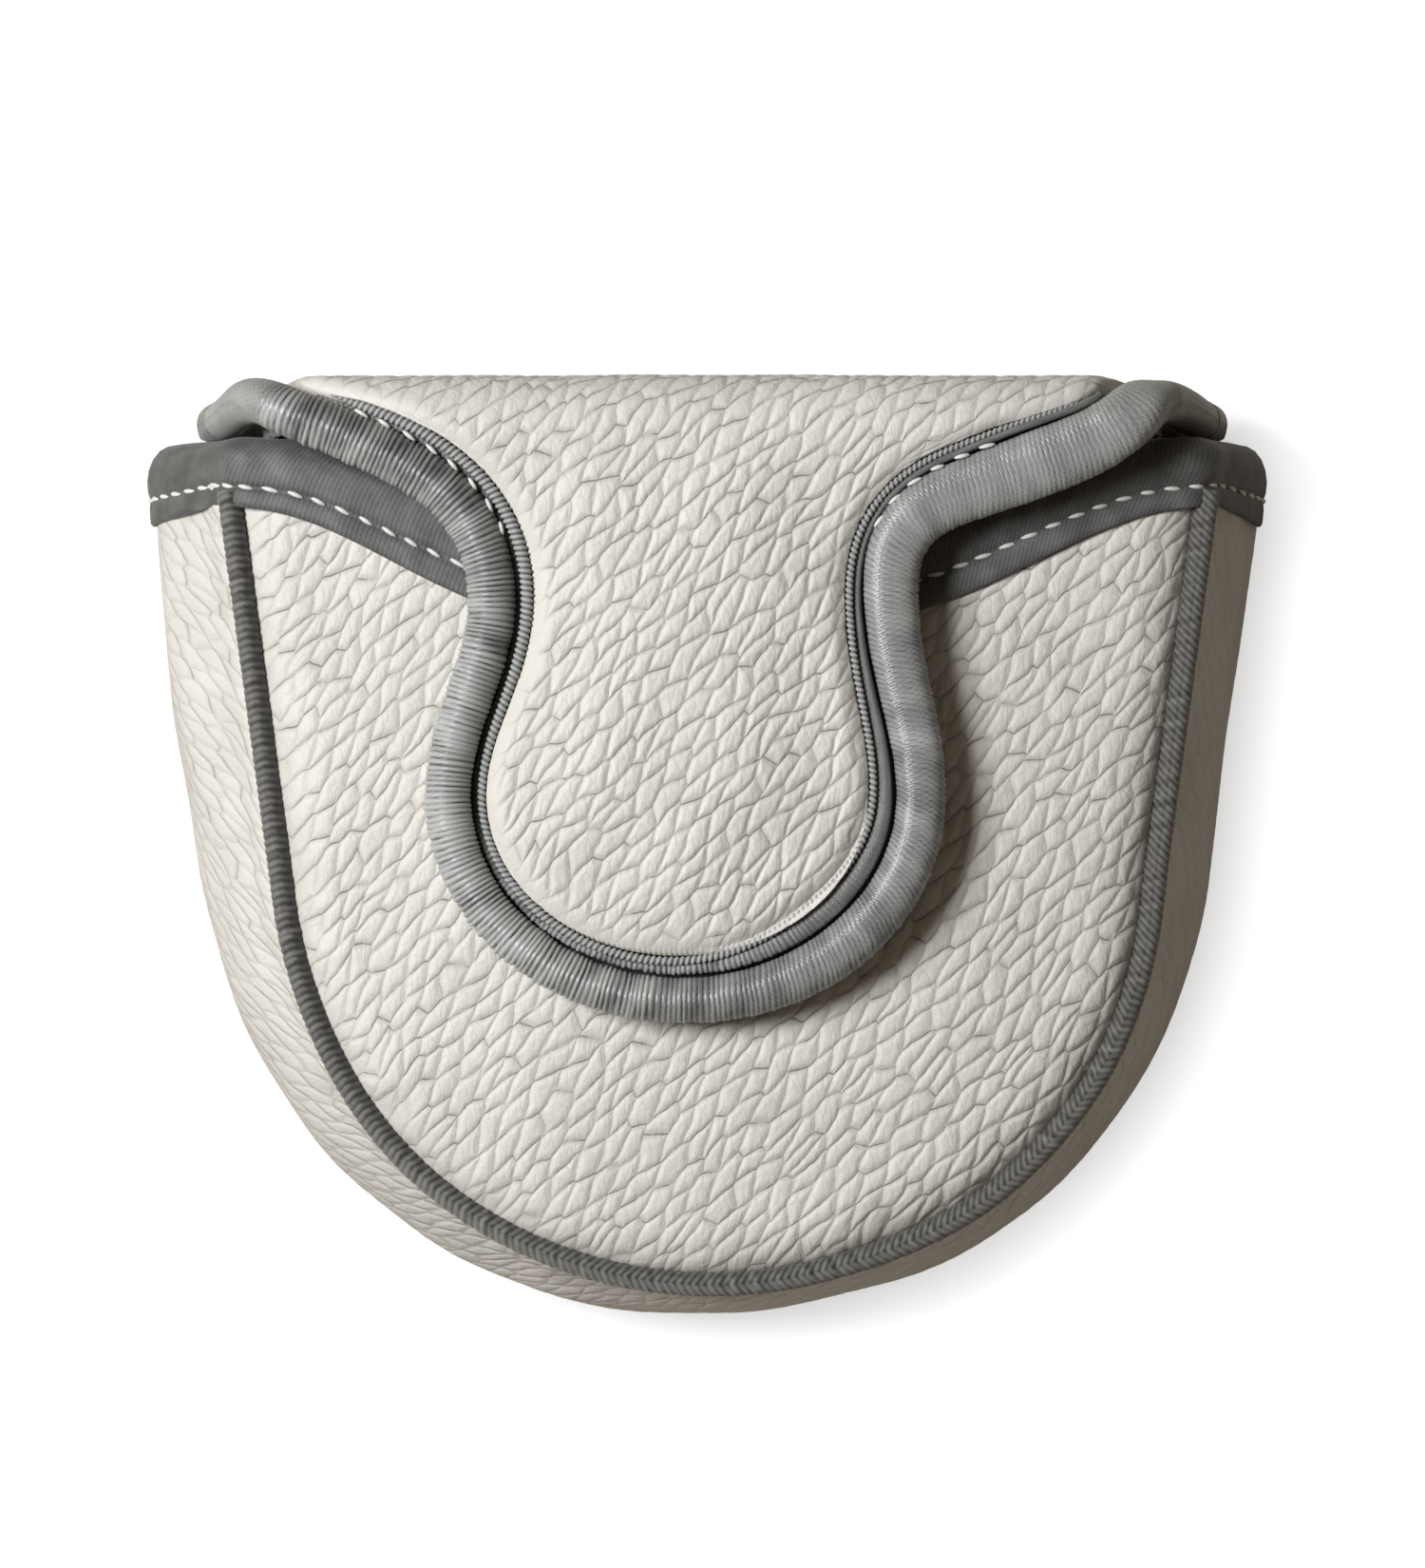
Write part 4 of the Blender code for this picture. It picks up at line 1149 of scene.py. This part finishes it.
def mouth_tape():
    """The tape folded over the mouth's edge: a section of (share down it, height off it), swept round."""
    base = np.stack([mouth_level(share) for share in np.linspace(0, 1, LEVELS)])
    normal = grid_normals(base)
    if normal[LEVELS // 2, TAPE_STATIONS // 2, 2] < 0:
        normal = -normal
    normal = unit(np.stack([soften(row, 21) for row in normal]))
    along = lengths(base[LEVELS // 2])

    def level(share):
        at = np.clip(share, 0, 1) * (LEVELS - 1)
        low = min(int(at), LEVELS - 2)
        return lerp(base[low], base[low + 1], at - low), unit(lerp(normal[low], normal[low + 1], at - low))

    rows = []
    for share, out in TAPE_SECTION:
        here, face = level(share)
        above = unit(base[0] - base[1]) * max(0, -share) * TAPE_REACH
        ripple = 0.06 * wobble(along * 0.5 + share * 3, 81) * (out > 0.3)
        rows.append(soften(here + above + face * (out + ripple)[:, None], 15 if out < 0 else 3))
    rows = np.stack(rows, axis=1)
    count = len(TAPE_SECTION)
    faces = grid_faces(TAPE_STATIONS, count, round_rows=True)
    faces.append(tuple(range(count)))
    faces.append(tuple(reversed(range((TAPE_STATIONS - 1) * count, TAPE_STATIONS * count))))
    flat = joined(along[:, None], np.array([share for share, _ in TAPE_SECTION]) * TAPE_REACH, 0.0)
    whole = np.ones(TAPE_STATIONS * count)
    values = {"flat": flat.reshape(-1, 3), "mark": whole, "relief": whole * TAPE_RELIEF}
    piece = mesh_object("mouth_tape", rows.reshape(-1, 3), faces, values)
    dress(piece, TAPE, ("mouth_binding",), "pouch")
    line, face = level(STITCH_SHARE)
    line = line + face * 0.72
    out = unit(np.cross(np.gradient(line, axis=0), face))
    stitches("mouth_stitching", line, out, face, 2.1, 3.15, "pouch")


# --- Stage ----------------------------------------------------------------------------------------

CAMERA_LENS = 300
VIEW_HEIGHT = 194.9
AIM_Y = 7.5
SCALE_PLANE_Z = 30.0
KEY_PLACE = (-0.65, 0.2, 0.88)
KEY_SIZE = 0.42
KEY_POWER = 14.9
FLOOR_HALF = 9
HIGH_SKY = 0.105
WARM = (1, 0.8, 0.6)


def camera():
    data = bpy.data.cameras.new("camera")
    data.lens = CAMERA_LENS
    data.sensor_width = 36
    data.clip_end = 20
    made = bpy.data.objects.new("camera", data)
    made.location = mm_point(0.05, AIM_Y, SCALE_PLANE_Z + VIEW_HEIGHT / 36 * CAMERA_LENS)
    bpy.context.scene.collection.objects.link(made)
    bpy.context.scene.camera = made


def stage():
    """A white floor that glows for the camera only, with a painted contact shadow near the object, one soft
    light and a warm sky, white at the horizon.
    """
    mesh = bpy.data.meshes.new("floor")
    corners = [(x * FLOOR_HALF, y * FLOOR_HALF, 0) for x, y in ((-1, -1), (1, -1), (1, 1), (-1, 1))]
    mesh.from_pydata(corners, [], [(0, 1, 2, 3)])
    floor = bpy.data.objects.new("floor", mesh)
    floor.location.z = -0.0002
    bpy.context.scene.collection.objects.link(floor)
    made, tree, shader = material("floor_white", 0.9, 0.0)
    place = add(tree, "ShaderNodeTexCoord").outputs["Object"]
    soft = tint(tree, noise(tree, place, 3.0, 1.0).outputs[0], (0.36, 0.36, 0.36), (0.4, 0.4, 0.4))
    seen = add(tree, "ShaderNodeLightPath").outputs["Is Camera Ray"]
    mixed = add(tree, "ShaderNodeMix", {0: seen, 6: (0.46, 0.425, 0.38, 1), 7: soft}, data_type="RGBA")
    tree.links.new(mixed.outputs[2], shader.inputs["Base Color"])
    shader.inputs["Emission Color"].default_value = (1, 1, 1, 1)
    # Ambient occlusion dims the glow near the object: a painted contact shadow.
    near = add(tree, "ShaderNodeAmbientOcclusion", {"Distance": 0.011}, samples=8).outputs["AO"]
    glow_with_painted_contact_shadow = times(tree, near, 0.84, 0.15)
    tree.links.new(sums(tree, "MULTIPLY", seen, glow_with_painted_contact_shadow), shader.inputs["Emission Strength"])
    mesh.materials.append(made)
    data = bpy.data.lights.new("key", "AREA")
    data.size, data.energy, data.color = KEY_SIZE, KEY_POWER, (0.99, 0.99, 0.985)
    key = bpy.data.objects.new("key", data)
    key.location = KEY_PLACE
    key.rotation_euler = (Vector((0, 0, 0.03)) - Vector(KEY_PLACE)).to_track_quat("-Z", "Y").to_euler()
    bpy.context.scene.collection.objects.link(key)
    world = bpy.data.worlds.new("studio")
    world.use_nodes = True
    tree = world.node_tree
    sky = tree.nodes["Background"].inputs
    way = add(tree, "ShaderNodeTexCoord").outputs["Generated"]
    height = add(tree, "ShaderNodeSeparateXYZ", {0: way}).outputs[2]
    tree.links.new(ramp(tree, height, 0.015, 0.06, 1.0, HIGH_SKY), sky["Strength"])
    tree.links.new(tint(tree, ramp(tree, height, 0.015, 0.06), (1, 1, 1), WARM), sky["Color"])
    bpy.context.scene.world = world
    bpy.context.scene.view_settings.view_transform = "Standard"


camera()
stage()
front_pad()
gusset_pad()
piping("front_braid", FRONT_SEAM_Z, 44.0, ("front_piping", "front_piping_core"), 40)
piping("back_braid", BACK_SEAM_Z, MOUTH_Y - 0.4, ("back_piping", "back_piping_core"), 26)
tongue_pad()
back_pad()
linings()
flap_roll()
low_rolls()
flap_cord()
wing_stitches()
mouth_tape()
for magnet in ("pouch_magnet_left", "pouch_magnet_right", "flap_magnet_left", "flap_magnet_right"):
    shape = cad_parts[magnet].data
    shape.materials.clear()
    shape.materials.append(METAL)

bpy.context.view_layer.update()
